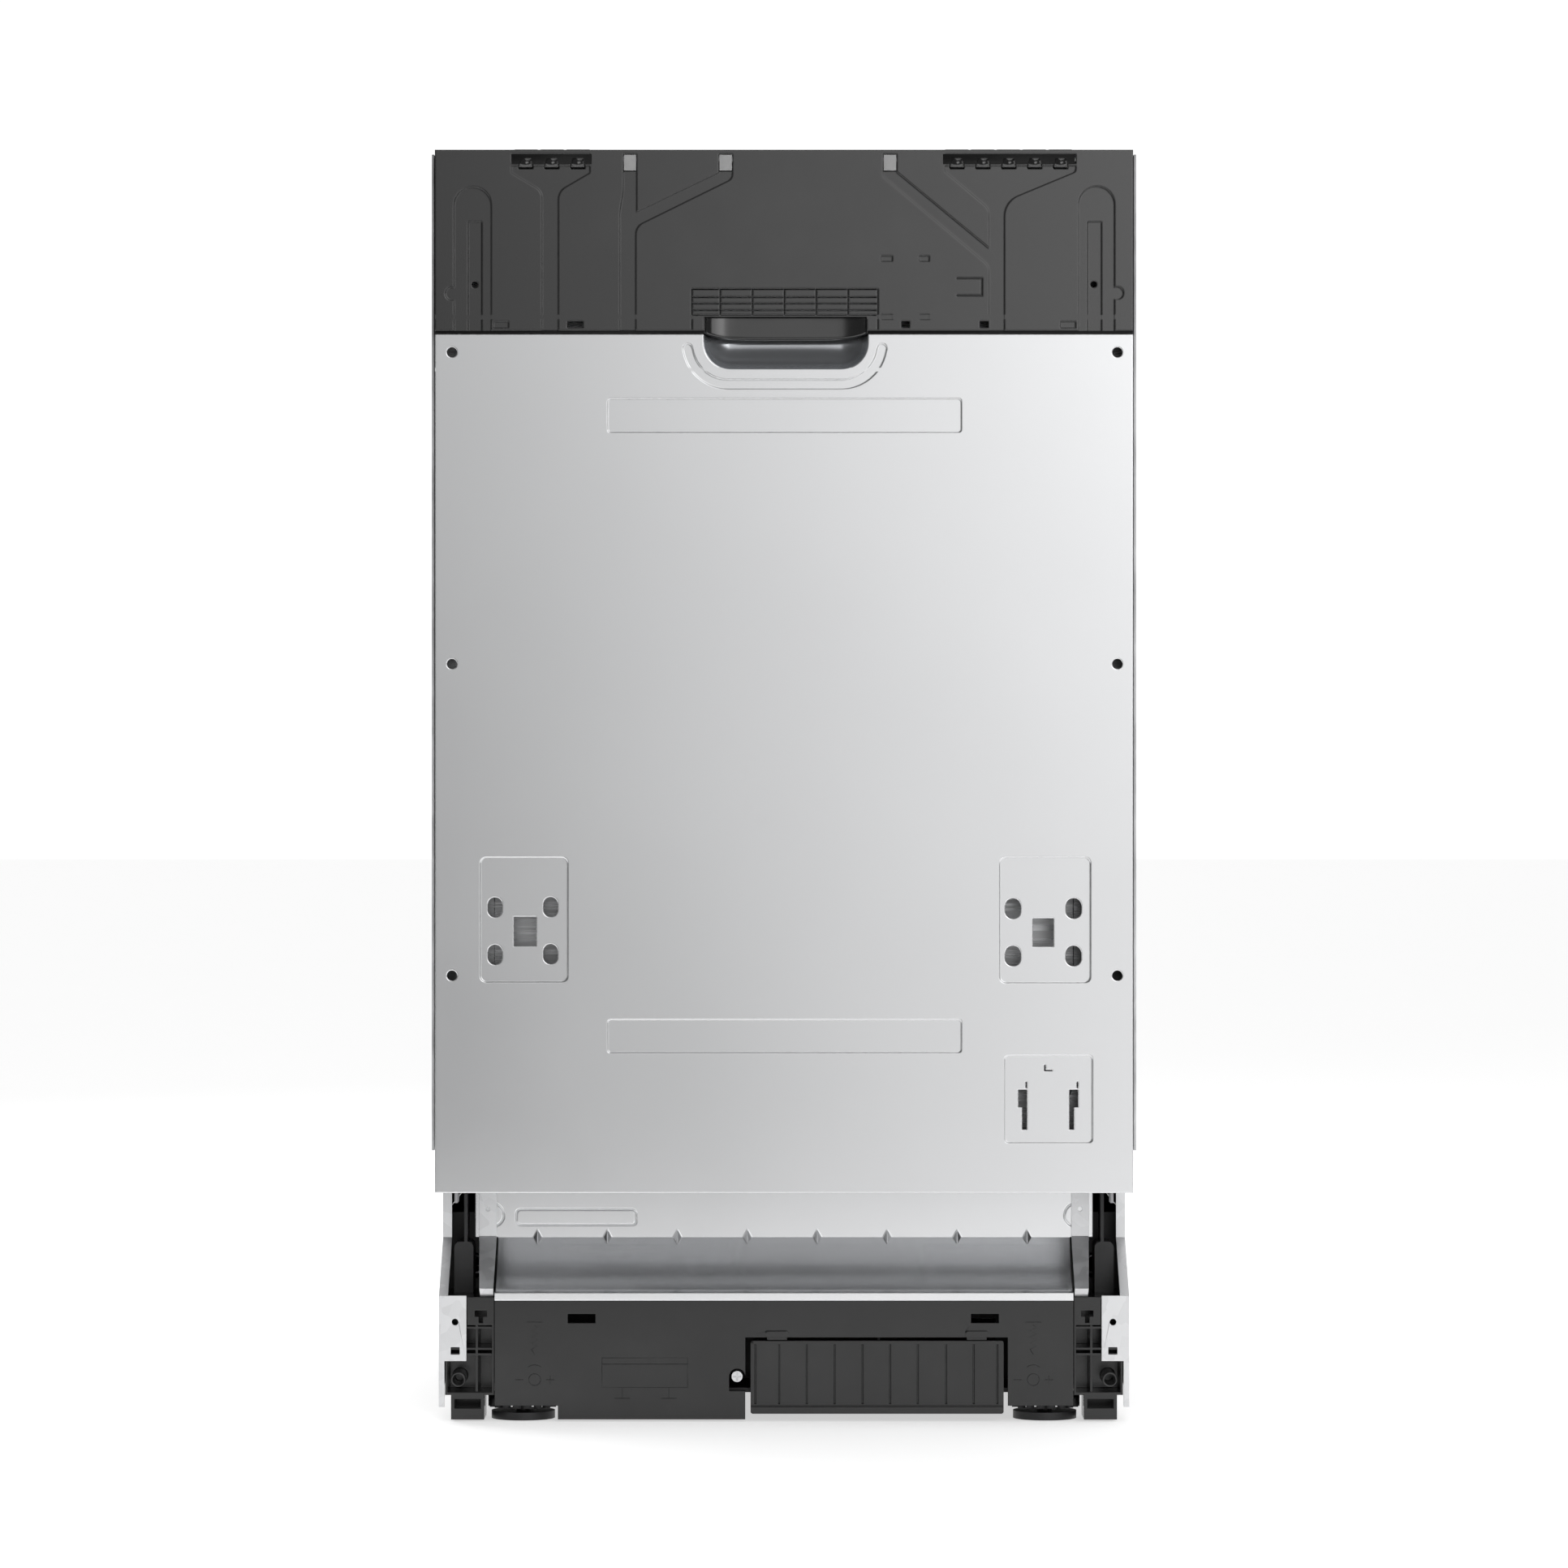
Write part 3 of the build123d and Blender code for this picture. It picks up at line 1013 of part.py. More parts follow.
def all_parts():
    """Every node's name and shape."""
    parts = {
        "base_tray": base_tray(),
        "front_apron": front_apron(),
        "access_cover": access_cover(),
        "base_corner_left": mirrored(base_corner()),
        "base_corner_right": base_corner(),
        "kick_plate": kick_plate(),
        "side_frame_left": mirrored(side_frame()),
        "side_frame_right": side_frame(),
        "base_straps": both(base_strap()),
        "side_panel_left": mirrored(side_panel()),
        "side_panel_right": side_panel(),
        "rear_panel": rear_panel(),
        "top_brace": top_brace(),
        "tub": tub(),
        "tub_gasket": tub_gasket(),
        "trim_strips": both(trim_strip()),
        "insulation_jacket": insulation_jacket(),
        "sump": sump(),
        "circulation_pump": circulation_pump(),
        "drain_pump": drain_pump(),
        "filter_cup": filter_cup(),
        "water_duct": water_duct(),
        "upper_rails": both(upper_rail()),
        "softener": softener(),
        "rear_connections": rear_connections(),
        "hinge_brackets": both(hinge_bracket()),
        "door_springs": both(door_spring()),
        "fasteners": fasteners(),
        "door_outer_panel": door_outer_panel(),
        "door_inner_panel": door_inner_panel(),
        "console": console(),
        "control_box": control_box(),
        "light_guides": light_guides(),
        "hinge_levers": both(hinge_lever()),
        "door_latch": door_latch(),
        "dispenser": dispenser(),
        "door_screws": door_screws(),
        "dispenser_lid": dispenser_lid(),
        "rinse_aid_cap": rinse_aid_cap(),
        "lower_spray_arm": lower_spray_arm(),
        "upper_spray_arm": upper_spray_arm(),
        "upper_basket": upper_basket(),
        "lower_basket": lower_basket(),
        "cutlery_basket": cutlery_basket(),
        "front_foot_left": front_foot(-1),
        "front_foot_right": front_foot(1),
        "rear_foot": rear_foot(),
        "foot_adjuster": foot_adjuster(),
    }
    for number, x in enumerate(LEFT_BUTTONS + RIGHT_BUTTONS, start=1):
        parts[f"button_{number}"] = button(x)
    for side, side_name in ((-1, "left"), (1, "right")):
        for y, end_name in zip(WHEEL_Y, ("front", "rear")):
            parts[f"wheel_{end_name}_{side_name}"] = wheel(side, y)
    return parts


def main():
    os.makedirs("parts", exist_ok=True)
    for name, shape in all_parts().items():
        export_step(shape, f"parts/{name}.step")


main()
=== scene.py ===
import json
import math

import bpy
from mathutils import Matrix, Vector


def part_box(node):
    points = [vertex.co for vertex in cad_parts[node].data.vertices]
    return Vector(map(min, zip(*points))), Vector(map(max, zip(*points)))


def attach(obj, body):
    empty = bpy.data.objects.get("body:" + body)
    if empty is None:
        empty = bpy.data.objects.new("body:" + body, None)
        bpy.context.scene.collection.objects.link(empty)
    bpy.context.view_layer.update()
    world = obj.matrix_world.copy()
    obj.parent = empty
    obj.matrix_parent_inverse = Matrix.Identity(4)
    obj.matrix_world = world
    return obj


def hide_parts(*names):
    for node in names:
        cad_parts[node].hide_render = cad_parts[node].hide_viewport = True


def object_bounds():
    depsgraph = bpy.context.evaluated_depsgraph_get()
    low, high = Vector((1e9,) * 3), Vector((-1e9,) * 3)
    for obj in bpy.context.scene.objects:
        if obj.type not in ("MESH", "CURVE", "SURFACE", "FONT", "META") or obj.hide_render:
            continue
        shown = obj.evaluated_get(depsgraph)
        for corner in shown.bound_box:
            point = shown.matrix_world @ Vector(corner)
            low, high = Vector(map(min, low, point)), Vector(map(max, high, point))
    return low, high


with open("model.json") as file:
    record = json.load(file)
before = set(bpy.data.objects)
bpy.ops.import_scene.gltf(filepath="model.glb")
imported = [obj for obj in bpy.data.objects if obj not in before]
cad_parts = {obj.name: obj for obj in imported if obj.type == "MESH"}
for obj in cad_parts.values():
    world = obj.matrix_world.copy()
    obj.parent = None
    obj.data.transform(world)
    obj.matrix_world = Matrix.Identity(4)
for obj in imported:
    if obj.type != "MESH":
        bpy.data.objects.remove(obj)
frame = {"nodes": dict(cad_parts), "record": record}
CAD_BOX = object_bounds()

# The frame's own places, in metres
LOW, HIGH = Vector(CAD_BOX[0]), Vector(CAD_BOX[1])
FRONT = LOW.y
HEIGHT = HIGH.z
MIDDLE = HEIGHT / 2

# Camera: it stands square to the door, level with the middle of the object
CAMERA_DISTANCE = 4.0
CAMERA_HEIGHT = 0.410
HALF_VIEW = 0.4994
SENSOR = 36.0

# One millimetre, for the sizes of the pieces below
MM = 0.001

# The handle recess, and the two heights where plates meet flush below and above it
HANDLE_BOX = next(opening["box_m"] for opening in frame["record"]["physics"]["openings"]
                  if opening["name"] == "handle_recess")
HANDLE_MIDDLE = (HANDLE_BOX[0][0] + HANDLE_BOX[1][0]) / 2
SEAM_BELOW = 1.0 * MM
SEAM_ABOVE = 1.1 * MM
FLUSH_SEAMS = (HANDLE_BOX[0][2] - SEAM_BELOW, HANDLE_BOX[1][2] + SEAM_ABOVE)


# ---------------------------------------------------------------- materials

# Rounding of pressed and moulded edges in the shading, and how near a flush seam it stops, in radii
EDGE_SAMPLES = 8
SEAM_REACH = 1.1
SHEET_EDGE = 1.1 * MM
CONSOLE_EDGE = 1.3 * MM
BASE_EDGE = 0.9 * MM

# The middle part of a noise texture's values, which is spread over the whole range
NOISE_LOW = 0.3
NOISE_HIGH = 0.7


def shader_of(material):
    """The material's Principled shader."""
    return material.node_tree.nodes["Principled BSDF"]


def plain(name, colour, metallic, roughness):
    """A material with its even values set; grain is added to it later."""
    material = bpy.data.materials.new(name)
    material.use_nodes = True
    shader = shader_of(material)
    shader.inputs["Base Color"].default_value = (*colour, 1.0)
    shader.inputs["Metallic"].default_value = metallic
    shader.inputs["Roughness"].default_value = roughness
    return material


def noise(material, scale, detail=3.0, stretch=(1.0, 1.0, 1.0)):
    """A noise texture in the object's own metres; scale is in waves per metre."""
    nodes, links = material.node_tree.nodes, material.node_tree.links
    place = nodes.new("ShaderNodeTexCoord")
    mapping = nodes.new("ShaderNodeMapping")
    mapping.inputs["Scale"].default_value = stretch
    texture = nodes.new("ShaderNodeTexNoise")
    texture.inputs["Scale"].default_value = scale
    texture.inputs["Detail"].default_value = detail
    links.new(place.outputs["Object"], mapping.inputs["Vector"])
    links.new(mapping.outputs["Vector"], texture.inputs["Vector"])
    return texture.outputs["Fac"]


def cells(material, scale):
    """A field of irregular cells, such as zinc spangle."""
    nodes, links = material.node_tree.nodes, material.node_tree.links
    place = nodes.new("ShaderNodeTexCoord")
    texture = nodes.new("ShaderNodeTexVoronoi")
    texture.inputs["Scale"].default_value = scale
    links.new(place.outputs["Object"], texture.inputs["Vector"])
    split = nodes.new("ShaderNodeSeparateColor")
    links.new(texture.outputs["Color"], split.inputs["Color"])
    return split.outputs["Red"]


def span(material, source, low, high):
    """source, from 0 to 1, spread between low and high."""
    node = material.node_tree.nodes.new("ShaderNodeMapRange")
    node.inputs["From Min"].default_value = NOISE_LOW
    node.inputs["From Max"].default_value = NOISE_HIGH
    node.inputs["To Min"].default_value = low
    node.inputs["To Max"].default_value = high
    material.node_tree.links.new(source, node.inputs["Value"])
    return node.outputs["Result"]


def tint(material, source, first, second):
    """Colour that wanders between two shades."""
    nodes, links = material.node_tree.nodes, material.node_tree.links
    mix = nodes.new("ShaderNodeMix")
    mix.data_type = "RGBA"
    mix.inputs["A"].default_value = (*first, 1.0)
    mix.inputs["B"].default_value = (*second, 1.0)
    links.new(span(material, source, 0.0, 1.0), mix.inputs["Factor"])
    links.new(mix.outputs["Result"], shader_of(material).inputs["Base Color"])


def roughen(material, source, low, high):
    """Roughness that wanders between two values."""
    material.node_tree.links.new(span(material, source, low, high), shader_of(material).inputs["Roughness"])


def bump(material, source, distance, strength=1.0):
    """Fine relief, distance in metres. Each call adds to the relief before it."""
    nodes, links = material.node_tree.nodes, material.node_tree.links
    shader = shader_of(material)
    node = nodes.new("ShaderNodeBump")
    node.inputs["Distance"].default_value = distance
    node.inputs["Strength"].default_value = strength
    links.new(source, node.inputs["Height"])
    if shader.inputs["Normal"].is_linked:
        links.new(shader.inputs["Normal"].links[0].from_socket, node.inputs["Normal"])
    links.new(node.outputs["Normal"], shader.inputs["Normal"])


def combined(tree, operation, *values):
    """The output of one maths node; each value is a number or another node's output."""
    node = tree.nodes.new("ShaderNodeMath")
    node.operation = operation
    for socket, value in zip(node.inputs, values):
        if isinstance(value, float):
            socket.default_value = value
        else:
            tree.links.new(value, socket)
    return node.outputs["Value"]


def ease_edges(material, radius):
    """Lets pressed and moulded edges catch light as if rounded, but not where two plates meet flush."""
    tree = material.node_tree
    rounded = tree.nodes.new("ShaderNodeBevel")
    rounded.samples = EDGE_SAMPLES
    rounded.inputs["Radius"].default_value = radius
    flat = tree.nodes.new("ShaderNodeNewGeometry")
    place = tree.nodes.new("ShaderNodeTexCoord")
    split = tree.nodes.new("ShaderNodeSeparateXYZ")
    tree.links.new(place.outputs["Object"], split.inputs["Vector"])
    near_seams = [combined(tree, "COMPARE", split.outputs["Z"], height, SEAM_REACH * radius)
                  for height in FLUSH_SEAMS]
    mix = tree.nodes.new("ShaderNodeMix")
    mix.data_type = "VECTOR"
    tree.links.new(combined(tree, "MAXIMUM", *near_seams), mix.inputs["Factor"])
    # A Mix node's vector sockets share their names with the others, so they go by number
    tree.links.new(rounded.outputs["Normal"], mix.inputs[4])
    tree.links.new(flat.outputs["Normal"], mix.inputs[5])
    tree.links.new(mix.outputs[1], shader_of(material).inputs["Normal"])


def shade(colour, factor):
    """A lighter or darker copy of a colour."""
    return tuple(min(1.0, channel * factor) for channel in colour)


def satin_paint(name, colour, metallic=1.0):
    """Pale satin paint on sheet steel, with a faint orange peel."""
    material = plain(name, colour, metallic, 0.21)
    tint(material, noise(material, 5.0), shade(colour, 0.985), shade(colour, 1.015))
    roughen(material, noise(material, 9.0, 5.0), 0.20, 0.22)
    ease_edges(material, SHEET_EDGE)
    bump(material, noise(material, 1600.0, 1.0), 0.000005, 0.2)
    return material


def galvanised(name, colour):
    """Zinc-plated sheet, with a faint spangle."""
    material = plain(name, colour, 0.75, 0.38)
    spangle = cells(material, 130.0)
    tint(material, spangle, shade(colour, 0.95), shade(colour, 1.04))
    roughen(material, spangle, 0.34, 0.44)
    bump(material, noise(material, 260.0, 3.0), 0.00002, 0.3)
    return material


def brushed(name, colour, stretch, roughness=0.3):
    """Stainless steel with grinding lines across the stretched axes."""
    material = plain(name, colour, 1.0, roughness)
    lines = noise(material, 60.0, 4.0, stretch)
    tint(material, noise(material, 4.0), shade(colour, 0.94), shade(colour, 1.03))
    roughen(material, lines, roughness - 0.06, roughness + 0.08)
    bump(material, lines, 0.00002, 0.25)
    return material


def moulded(name, colour, roughness=0.5, grain=1500.0, depth=0.00004, coat=0.0, gloss=0.5, edge=0.0):
    """Moulded plastic with a spark-eroded grain and slightly uneven sheen."""
    material = plain(name, colour, 0.0, roughness)
    shader_of(material).inputs["Specular IOR Level"].default_value = gloss
    tint(material, noise(material, 12.0), shade(colour, 0.93), shade(colour, 1.07))
    roughen(material, noise(material, 35.0, 5.0), roughness - 0.04, roughness + 0.05)
    if edge:
        ease_edges(material, edge)
    bump(material, noise(material, grain, 2.0), depth, 0.35)
    shader_of(material).inputs["Coat Weight"].default_value = coat
    shader_of(material).inputs["Coat Roughness"].default_value = 0.8 * roughness
    return material


def rubbery(name, colour):
    """Matt rubber with a little bloom."""
    material = plain(name, colour, 0.0, 0.72)
    tint(material, noise(material, 40.0, 6.0), shade(colour, 0.8), shade(colour, 1.35))
    bump(material, noise(material, 700.0, 3.0), 0.00005, 0.4)
    return material


def felted(name, colour):
    """Pressed felt: coarse fibres and mottled colour."""
    material = plain(name, colour, 0.0, 0.95)
    fibres = noise(material, 260.0, 8.0, (1.0, 1.0, 0.35))
    tint(material, fibres, shade(colour, 0.45), shade(colour, 1.9))
    bump(material, fibres, 0.0008, 0.8)
    bump(material, noise(material, 30.0, 4.0), 0.002, 0.4)
    shader_of(material).inputs["Sheen Weight"].default_value = 0.25
    return material


def clear(name, colour):
    """Milky light-guide plastic."""
    material = plain(name, colour, 0.0, 0.22)
    shader_of(material).inputs["Transmission Weight"].default_value = 0.25
    tint(material, noise(material, 300.0), shade(colour, 0.95), shade(colour, 1.05))
    bump(material, noise(material, 900.0), 0.00003, 0.2)
    return material


MATERIALS = {
    "door_paint": satin_paint("door_paint", (0.80, 0.805, 0.815)),
    "stainless": brushed("stainless", (0.62, 0.625, 0.635), (0.15, 1.0, 12.0), 0.27),
    "zinc": galvanised("zinc", (0.78, 0.785, 0.795)),
    "console_grey": moulded("console_grey", (0.0018, 0.0018, 0.0019), 0.19, depth=0.00001,
                            coat=0.25, gloss=1.0, edge=CONSOLE_EDGE),
    "base_grey": moulded("base_grey", (0.005, 0.005, 0.0051), 0.21, depth=0.00001,
                         gloss=0.65, edge=BASE_EDGE),
    # A bluer, more diffuse copy of door_paint for the same pressed steel, so the bowl's shaded floor reads
    # lighter: painted light
    "bowl_paint": satin_paint("bowl_paint", (0.74, 0.76, 0.79), 0.72),
    # Near-black matt finish for the pieces that stand in for shade in gaps: painted shade
    "gap_black": rubbery("gap_black", (0.002, 0.002, 0.002)),
    "black_plastic": moulded("black_plastic", (0.012, 0.012, 0.013), 0.42),
    "white_plastic": moulded("white_plastic", (0.80, 0.80, 0.79), 0.32, 900.0, 0.00002, 0.2),
    "grey_plastic": moulded("grey_plastic", (0.42, 0.43, 0.44), 0.42),
    "clear_plastic": clear("clear_plastic", (0.62, 0.62, 0.62)),
    "rubber": rubbery("rubber", (0.022, 0.022, 0.022)),
    "strip_grey": rubbery("strip_grey", (0.62, 0.625, 0.63)),
    "felt": felted("felt", (0.060, 0.056, 0.052)),
    "coated_wire": moulded("coated_wire", (0.50, 0.52, 0.54), 0.28, 1200.0, 0.00001, 0.4),
    "spring_steel": brushed("spring_steel", (0.34, 0.34, 0.35), (1.0, 1.0, 3.0), 0.38),
}


# ---------------------------------------------------------------- CAD nodes

# Bevel widths, and the nodes made of touching plates, which get none
SOFT_EDGE = {"front_apron": 0.4 * MM, "kick_plate": 0.4 * MM}
DEFAULT_EDGE = 0.3 * MM
SEAMLESS = ("tub", "dispenser", "console", "door_outer_panel")
SHARP_ANGLE = math.radians(32)
WELD_DISTANCE = 0.01 * MM


def dress_cad_nodes():
    """Every CAD node gets a material, smooth shading, and small bevels or split edges."""
    slots = {part["node"]: part["material_slot"] for part in frame["record"]["subparts"]}
    for name, node in frame["nodes"].items():
        node.data.materials.clear()
        slot = "black_plastic" if name.startswith("button_") else slots[name]
        node.data.materials.append(MATERIALS[slot])
        node.data.shade_smooth()
        weld = node.modifiers.new("weld", "WELD")
        weld.merge_threshold = WELD_DISTANCE
        if name in SEAMLESS:
            split = node.modifiers.new("crisp_edges", "EDGE_SPLIT")
            split.split_angle = SHARP_ANGLE
            split.use_edge_sharp = False
        else:
            bevel = node.modifiers.new("soft_edges", "BEVEL")
            bevel.width = SOFT_EDGE.get(name, DEFAULT_EDGE)
            bevel.segments = 2
            bevel.limit_method = "ANGLE"
            bevel.angle_limit = SHARP_ANGLE
        normals = node.modifiers.new("even_normals", "WEIGHTED_NORMAL")
        normals.mode = "FACE_AREA"
        normals.weight = 100
        normals.keep_sharp = False


# ---------------------------------------------------------------- piece helpers

def settle(piece, body, slot, *nodes, finish=None):
    """Gives a piece its body and its material (the slot's, or finish if the slot's own isn't used), and
    hides nodes.
    """
    piece.data.materials.clear()
    piece.data.materials.append(MATERIALS[finish or slot])
    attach(piece, body)
    if nodes:
        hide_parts(*nodes)
    return piece


def mesh_piece(name, points, faces):
    """A smooth-shaded mesh, points in metres."""
    data = bpy.data.meshes.new(name)
    data.from_pydata(points, [], faces)
    data.shade_smooth()
    piece = bpy.data.objects.new(name, data)
    bpy.context.scene.collection.objects.link(piece)
    return piece


def thicken(piece, thickness, offset=-1.0):
    """Turns a surface into a shell."""
    solid = piece.modifiers.new("thickness", "SOLIDIFY")
    solid.thickness = thickness
    solid.offset = offset


def round_edges(piece, width):
    """Small bevels with even shading."""
    bevel = piece.modifiers.new("soft_edges", "BEVEL")
    bevel.width = width
    bevel.segments = 2
    bevel.limit_method = "ANGLE"
    bevel.angle_limit = SHARP_ANGLE
    normals = piece.modifiers.new("even_normals", "WEIGHTED_NORMAL")
    normals.weight = 100


def sweep_grid(rows):
    """Points and faces of a grid, from rows of equal length."""
    width = len(rows[0])
    points = [point for row in rows for point in row]
    faces = []
    for row in range(len(rows) - 1):
        for column in range(width - 1):
            corner = row * width + column
            faces.append((corner, corner + 1, corner + width + 1, corner + width))
    return points, faces


def turned(profile, centre, axis, segments=40):
    """A closed ring of faces: profile is (radius, along) pairs in metres, turned about an axis."""
    points, faces = [], []
    count = len(profile)
    for step in range(segments):
        angle = 2 * math.pi * step / segments
        for radius, along in profile:
            across, up = radius * math.cos(angle), radius * math.sin(angle)
            offset = {"X": (along, across, up), "Y": (across, along, up), "Z": (across, up, along)}[axis]
            points.append(tuple(c + o for c, o in zip(centre, offset)))
    for step in range(segments):
        here, there = step * count, (step + 1) % segments * count
        for index in range(count):
            after = (index + 1) % count
            faces.append((here + index, here + after, there + after, there + index))
    return points, faces


def joined(parts):
    """Several (points, faces) pairs as one pair."""
    points, faces = [], []
    for some_points, some_faces in parts:
        start = len(points)
        points.extend(some_points)
        faces.extend(tuple(start + index for index in face) for face in some_faces)
    return points, faces


def box_faces(low, high):
    """The points and faces of a box."""
    points = [(x, y, z) for x in (low[0], high[0]) for y in (low[1], high[1]) for z in (low[2], high[2])]
    faces = [(0, 1, 3, 2), (4, 6, 7, 5), (0, 4, 5, 1), (2, 3, 7, 6), (0, 2, 6, 4), (1, 5, 7, 3)]
    return points, faces


def bent(points, radius, steps=5):
    """An open path with its corners rounded."""
    path = [Vector(points[0])]
    for before, corner, after in zip(points, points[1:], points[2:]):
        before, corner, after = Vector(before), Vector(corner), Vector(after)
        reach_in = (before - corner).normalized() * radius
        reach_out = (after - corner).normalized() * radius
        for step in range(steps + 1):
            t = step / steps
            path.append(corner + reach_in * (1 - t) ** 2 + reach_out * t ** 2)
    path.append(Vector(points[-1]))
    return path


def wires(name, paths, radius, closed=()):
    """Round wires along paths; paths in closed join their ends."""
    data = bpy.data.curves.new(name, "CURVE")
    data.dimensions = "3D"
    data.bevel_depth = radius
    data.bevel_resolution = 3
    data.use_fill_caps = True
    for path, is_closed in [(path, False) for path in paths] + [(path, True) for path in closed]:
        spline = data.splines.new("POLY")
        spline.points.add(len(path) - 1)
        for point, place in zip(spline.points, path):
            point.co = (*place, 1.0)
        spline.use_cyclic_u = is_closed
    piece = bpy.data.objects.new(name, data)
    bpy.context.scene.collection.objects.link(piece)
    return piece


def ring_path(x0, x1, y0, y1, z, radius, steps=6):
    """A level rounded rectangle."""
    path = []
    for cx, cy, start in ((x1, y1, 0), (x0, y1, 90), (x0, y0, 180), (x1, y0, 270)):
        for step in range(steps + 1):
            angle = math.radians(start + 90 * step / steps)
            inward_x = cx - math.copysign(radius, cx - (x0 + x1) / 2)
            inward_y = cy - math.copysign(radius, cy - (y0 + y1) / 2)
            path.append((inward_x + radius * math.cos(angle), inward_y + radius * math.sin(angle), z))
    return path


# ---------------------------------------------------------------- door pieces

# The steel bowl in the lower half of the handle recess
SCOOP_HALF = 52.4 * MM
SCOOP_CORNER = 17.5 * MM
SCOOP_FLOOR = HANDLE_BOX[0][2] - 0.9 * MM
BOWL_INSET = 16.5 * MM
BOWL_DEPTH = 22.0 * MM
BOWL_SETBACK = 0.6 * MM
BOWL_SKIN = 0.6 * MM
BOWL_PLAY = 0.1 * MM
BOWL_STEPS = 14
CORNER_STEPS = 12

# The moulded grip in the upper half
GRIP_HALF = 51.8 * MM
GRIP_TURN = 16.0 * MM
GRIP_DEPTH = 6.5 * MM
GRIP_SAG = 3.8 * MM
GRIP_LIP = 1.6 * MM
GRIP_SHELF = 6.0 * MM
GRIP_SKIN = 0.5 * MM
GRIP_SETBACK = 1.0 * MM
GRIP_TURN_STEPS = 12
GRIP_FLAT_STEPS = 16
GRIP_LIP_STEPS = 6

# The near-black strip below the console: painted shade in place of the shadow in the gap
SHADE_STRIP_HEIGHT = 1.7 * MM
SHADE_STRIP_PLAY = 0.3 * MM
SHADE_STRIP_FACE = 0.5 * MM
SHADE_STRIP_BACK = 2.4 * MM

# Near-black plates of painted shade over the two button groups, standing in for the shade between the
# buttons, and a tab in front of each button; tab heights count down from the plates' top
LEFT_BUTTONS = (1, 2, 3)
RIGHT_BUTTONS = (4, 5, 6, 7, 8)
SHADE_PLATE_DROP = 2.7 * MM
SHADE_PLATE_HEIGHT = 6.5 * MM
SHADE_PLATE_MARGIN = 1.2 * MM
SHADE_PLATE_BACK = 1.2 * MM
SHADE_PLATE_PROUD = 0.01 * MM
TAB_TOP = 2.6 * MM
TAB_FOOT = 8.4 * MM
TAB_HALF_TOP = 3.5 * MM
TAB_HALF_FOOT = 4.3 * MM
TAB_BACK = 1.0 * MM
TAB_PROUD = 0.02 * MM

# Screw heads; the recess is in shares of the head's radius and height
HEAD_RINGS = 9
HEAD_SEGMENTS = 40
RECESS_REACH = 0.66
RECESS_HALF = 0.17
RECESS_DEPTH = 0.55
DOOR_SCREW_SIDE = 216.5 * MM
DOOR_SCREW_HEIGHTS = (215, 280, 480, 640, 760)
REAR_SCREW_SIDE = 214 * MM
REAR_SCREW_HEIGHTS = (200, 480, 760)
FRAME_SCREW_DEPTHS = (-100, 180)
FRAME_SCREW_HEIGHT = 150 * MM
CABINET_HEAD = 3.6 * MM


def handle_bowl():
    """The dished steel half of the handle recess: a rounded rim that sinks to a flat back."""
    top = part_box("door_outer_panel")[1][2] - BOWL_PLAY
    floor = SCOOP_FLOOR + BOWL_PLAY / 2
    rows = []
    for step in range(BOWL_STEPS + 1):
        angle = math.radians(90 * step / BOWL_STEPS)
        inset = BOWL_INSET * (1 - math.cos(angle)) + BOWL_PLAY
        y = FRONT + BOWL_SETBACK + BOWL_DEPTH * math.sin(angle)
        half = SCOOP_HALF - inset
        radius = SCOOP_CORNER - inset
        row = [(HANDLE_MIDDLE - half, y, top)]
        for side, start in ((-1, 180), (1, 270)):
            for turn in range(CORNER_STEPS + 1):
                swing = math.radians(start + 90 * turn / CORNER_STEPS)
                centre = HANDLE_MIDDLE + side * (half - radius)
                row.append((centre + radius * math.cos(swing), y, floor + inset + radius
                            + radius * math.sin(swing)))
        row.append((HANDLE_MIDDLE + half, y, top))
        rows.append(row)
    points, faces = sweep_grid(rows)
    last = len(points) - len(rows[0])
    faces.append(tuple(range(last, len(points))))
    piece = mesh_piece("handle_bowl", points, faces)
    thicken(piece, BOWL_SKIN)
    # The bowl takes the lighter copy of the door paint: painted light in its shaded hollow
    settle(piece, "door", "door_paint", finish="bowl_paint")


def handle_grip():
    """The moulded grip: a curved wall across the console's opening, with a sagging rounded lip."""
    roof = HANDLE_BOX[1][2] + 1.0 * MM
    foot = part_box("console")[0][2]
    line = []
    for side in (-1, 1):
        turn = []
        for step in range(GRIP_TURN_STEPS + 1):
            angle = math.radians(90 * step / GRIP_TURN_STEPS)
            x = GRIP_HALF - GRIP_TURN * (1 - math.cos(angle))
            turn.append((HANDLE_MIDDLE + side * x, FRONT + GRIP_SETBACK + GRIP_DEPTH * math.sin(angle)))
        line += turn if side < 0 else turn[::-1]
    middle = len(line) // 2
    (x0, y0), (x1, _) = line[middle - 1], line[middle]
    flat = [(x0 + (x1 - x0) * step / GRIP_FLAT_STEPS, y0) for step in range(1, GRIP_FLAT_STEPS)]
    line = line[:middle] + flat + line[middle:]

    def lip(x):
        reach = abs(x - HANDLE_MIDDLE) / GRIP_HALF
        return foot - GRIP_SAG * (1 - reach ** 5)

    rows = [[(x, y, roof) for x, y in line],
            [(x, y, roof - 0.3 * MM) for x, y in line],
            [(x, y, lip(x) + GRIP_LIP + 0.5 * MM) for x, y in line],
            [(x, y, lip(x) + GRIP_LIP) for x, y in line]]
    for step in range(1, GRIP_LIP_STEPS + 1):
        angle = math.radians(90 * step / GRIP_LIP_STEPS)
        back = GRIP_LIP * (1 - math.cos(angle))
        down = GRIP_LIP * (1 - math.sin(angle))
        rows.append([(x, y + back, lip(x) + down) for x, y in line])
    rows.append([(x, y + GRIP_SHELF, lip(x)) for x, y in line])
    piece = mesh_piece("handle_grip", *sweep_grid(rows))
    thicken(piece, GRIP_SKIN, 1.0)
    settle(piece, "door", "console_grey")


